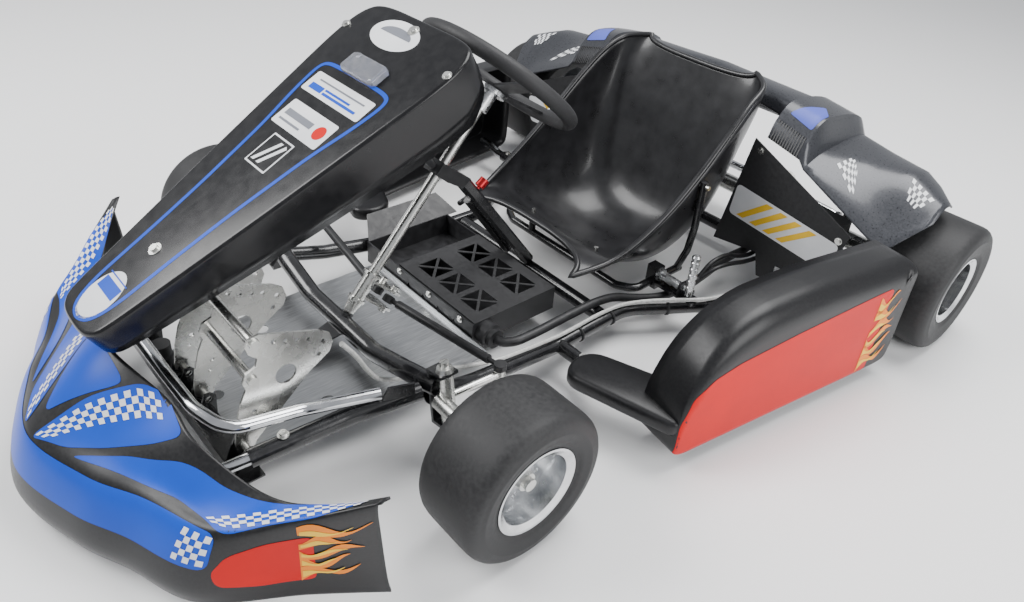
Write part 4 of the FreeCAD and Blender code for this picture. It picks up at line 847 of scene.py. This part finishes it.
for sign in (1, -1):
    cowl_checks += check_cells([(sign * 388, 626), (sign * 400, 671)],
                               [(sign * 456, 592), (sign * 429, 640)], 6, 8)
    cowl_checks += check_cells([(sign * 522, 689), (sign * 579, 675)],
                               [(sign * 534, 648), (sign * 564, 640)], 4, 9)
    top = ((268, 604), (304, 682), (330, 650), (326, 600))
    scoop_tops.append(rounded([(sign * x, y) for x, y in top], 5))
cowl_film_lift, cowl_check_lift = 0.0008, 0.0010
laid("cowl_white_checks", cowl_checks, down, cowl_skin, cowl_check_lift, white_film)
violet_film = film("violet_film", (0.10, 0.13, 0.52))
laid("cowl_scoop_film", scoop_tops, down, cowl_skin, cowl_film_lift, violet_film, cell=film_cell)

# ---------------------------------------------------------------- bay cover labels
# White film with slanting yellow stripes on the flat cover in front of each rear bay.
cover_front = 0.5582
cover_face = [Vector((x, cover_front, z)) for x, z in ((-1, 0), (1, 0), (1, 1), (-1, 1))]
cover_skin = (BVHTree.FromPolygons(cover_face, [(0, 1, 2, 3)]), cover_face,
              [Vector((0, -1, 0))] * 4, [(0, 1, 2, 3)])
label_lift, label_stripe_lift = 0.0004, 0.0008
label = ((209, 162), (216, 238), (476, 206), (460, 136))


def in_label(u, v):
    """A place on the label, from 0 to 1 across it and up it."""
    low = Vector(label[0]).lerp(Vector(label[3]), u)
    high = Vector(label[1]).lerp(Vector(label[2]), u)
    return tuple(low.lerp(high, v))


for side_name, sign in sides:
    def mirrored(outline):
        return [(sign * x, y) for x, y in outline]
    laid(side_name + "_bay_label", [mirrored(rounded(label, 12))], backwards, cover_skin,
         label_lift, white_film)
    stripes = []
    for u in (0.08, 0.22, 0.36, 0.50):
        corners = ((u, 0.08), (u + 0.07, 0.08), (u + 0.30, 0.92), (u + 0.23, 0.92))
        stripes.append(mirrored([in_label(*corner) for corner in corners]))
    laid(side_name + "_bay_label_stripes", stripes, backwards, cover_skin, label_stripe_lift,
         yellow_film)

# ---------------------------------------------------------------- steering grip
# Moulded foam grip on the steering ring, matt with a fine grain.
grip_foam = finish("grip_foam", (0.012, 0.012, 0.013), (0.024, 0.024, 0.026), (0.5, 0.68),
                   grain=300, depth=0.0004)
coat_nodes(grip_foam, "steering_grip")

# ---------------------------------------------------------------- slats, ties and washers
# Black slats across the mouth of each air scoop, nylon ties round the left rail that hold the
# cables, and broad plated washers under the panel's screws.
def repeated(name, places, turns, form, sizes, material):
    """Copies of one small shape, one at each place, made by a node tree on a mesh of points."""
    points = bpy.data.meshes.new(name + "_places")
    points.from_pydata(places, [], [])
    turn = points.attributes.new("turn", "FLOAT_VECTOR", "POINT")
    for value, angles in zip(turn.data, turns):
        value.vector = angles
    piece = bpy.data.objects.new(name, points)
    bpy.context.scene.collection.objects.link(piece)
    tree = bpy.data.node_groups.new(name + "_tree", "GeometryNodeTree")
    tree.interface.new_socket(name="Geometry", in_out="OUTPUT", socket_type="NodeSocketGeometry")
    tree.interface.new_socket(name="Geometry", in_out="INPUT", socket_type="NodeSocketGeometry")
    identifiers = {}
    for label in sizes:
        socket = tree.interface.new_socket(name=label, in_out="INPUT",
                                           socket_type="NodeSocketFloat")
        identifiers[label] = socket.identifier
    enter = tree.nodes.new("NodeGroupInput")
    leave = tree.nodes.new("NodeGroupOutput")
    if form == "slat":
        size = tree.nodes.new("ShaderNodeCombineXYZ")
        shape = tree.nodes.new("GeometryNodeMeshCube")
        for axis, label in zip("XYZ", sizes):
            tree.links.new(enter.outputs[label], size.inputs[axis])
        tree.links.new(size.outputs["Vector"], shape.inputs["Size"])
        made = shape.outputs["Mesh"]
    elif form == "washer":
        shape = tree.nodes.new("GeometryNodeMeshCylinder")
        shape.inputs["Vertices"].default_value = 28
        tree.links.new(enter.outputs["Radius"], shape.inputs["Radius"])
        tree.links.new(enter.outputs["Depth"], shape.inputs["Depth"])
        made = shape.outputs["Mesh"]
    else:
        circle = tree.nodes.new("GeometryNodeCurvePrimitiveCircle")
        band = tree.nodes.new("GeometryNodeCurvePrimitiveQuadrilateral")
        sweep = tree.nodes.new("GeometryNodeCurveToMesh")
        tree.links.new(enter.outputs["Radius"], circle.inputs["Radius"])
        tree.links.new(enter.outputs["Thickness"], band.inputs["Width"])
        tree.links.new(enter.outputs["Width"], band.inputs["Height"])
        tree.links.new(circle.outputs["Curve"], sweep.inputs["Curve"])
        tree.links.new(band.outputs["Curve"], sweep.inputs["Profile Curve"])
        made = sweep.outputs["Mesh"]
    spread = tree.nodes.new("GeometryNodeInstanceOnPoints")
    facing = tree.nodes.new("GeometryNodeInputNamedAttribute")
    facing.data_type = "FLOAT_VECTOR"
    facing.inputs["Name"].default_value = "turn"
    whole = tree.nodes.new("GeometryNodeRealizeInstances")
    painted = tree.nodes.new("GeometryNodeSetMaterial")
    painted.inputs["Material"].default_value = material
    tree.links.new(enter.outputs["Geometry"], spread.inputs["Points"])
    tree.links.new(made, spread.inputs["Instance"])
    tree.links.new(facing.outputs["Attribute"], spread.inputs["Rotation"])
    tree.links.new(spread.outputs["Instances"], whole.inputs["Geometry"])
    tree.links.new(whole.outputs["Geometry"], painted.inputs["Geometry"])
    tree.links.new(painted.outputs["Geometry"], leave.inputs["Geometry"])
    layer = piece.modifiers.new("repeat", "NODES")
    layer.node_group = tree
    for label, value in sizes.items():
        layer[identifiers[label]] = value
    settled(piece)
    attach(piece, "chassis")


slat_count, slat_lean = 12, math.radians(-27.6)
slat_places = []
for sign in (1, -1):
    for index in range(slat_count):
        share = index / (slat_count - 1)
        slat_places.append((sign * (0.260 + 0.066 * share), 0.5765, 0.379 - 0.016 * share))
slat_turns = [(slat_lean, 0, 0)] * len(slat_places)
repeated("scoop_slats", slat_places, slat_turns, "slat",
         {"Thickness": 0.0026, "Depth": 0.005, "Length": 0.044}, moulded_black)
rail_height = 0.060
ties = ((0.2385, 0.060, 0), (0.2370, 0.150, 0), (0.284, 0.274, -31.6), (0.3555, 0.436, -15.6))
tie_places = [(x, y, rail_height) for x, y, _ in ties]
tie_turns = [(math.radians(90), 0, math.radians(lean)) for _, _, lean in ties]
repeated("cable_ties", tie_places, tie_turns, "tie",
         {"Radius": 0.0162, "Thickness": 0.0016, "Width": 0.0048}, board)
washer_places = [tuple(panel_turn @ Vector(place)) for place in ((0, 0.152, 0.0006),
                                                                 (0, 0.664, 0.0006))]
repeated("panel_washers", washer_places, [(panel_slope, 0, 0)] * 2, "washer",
         {"Radius": 0.0105, "Depth": 0.0012}, zinc)
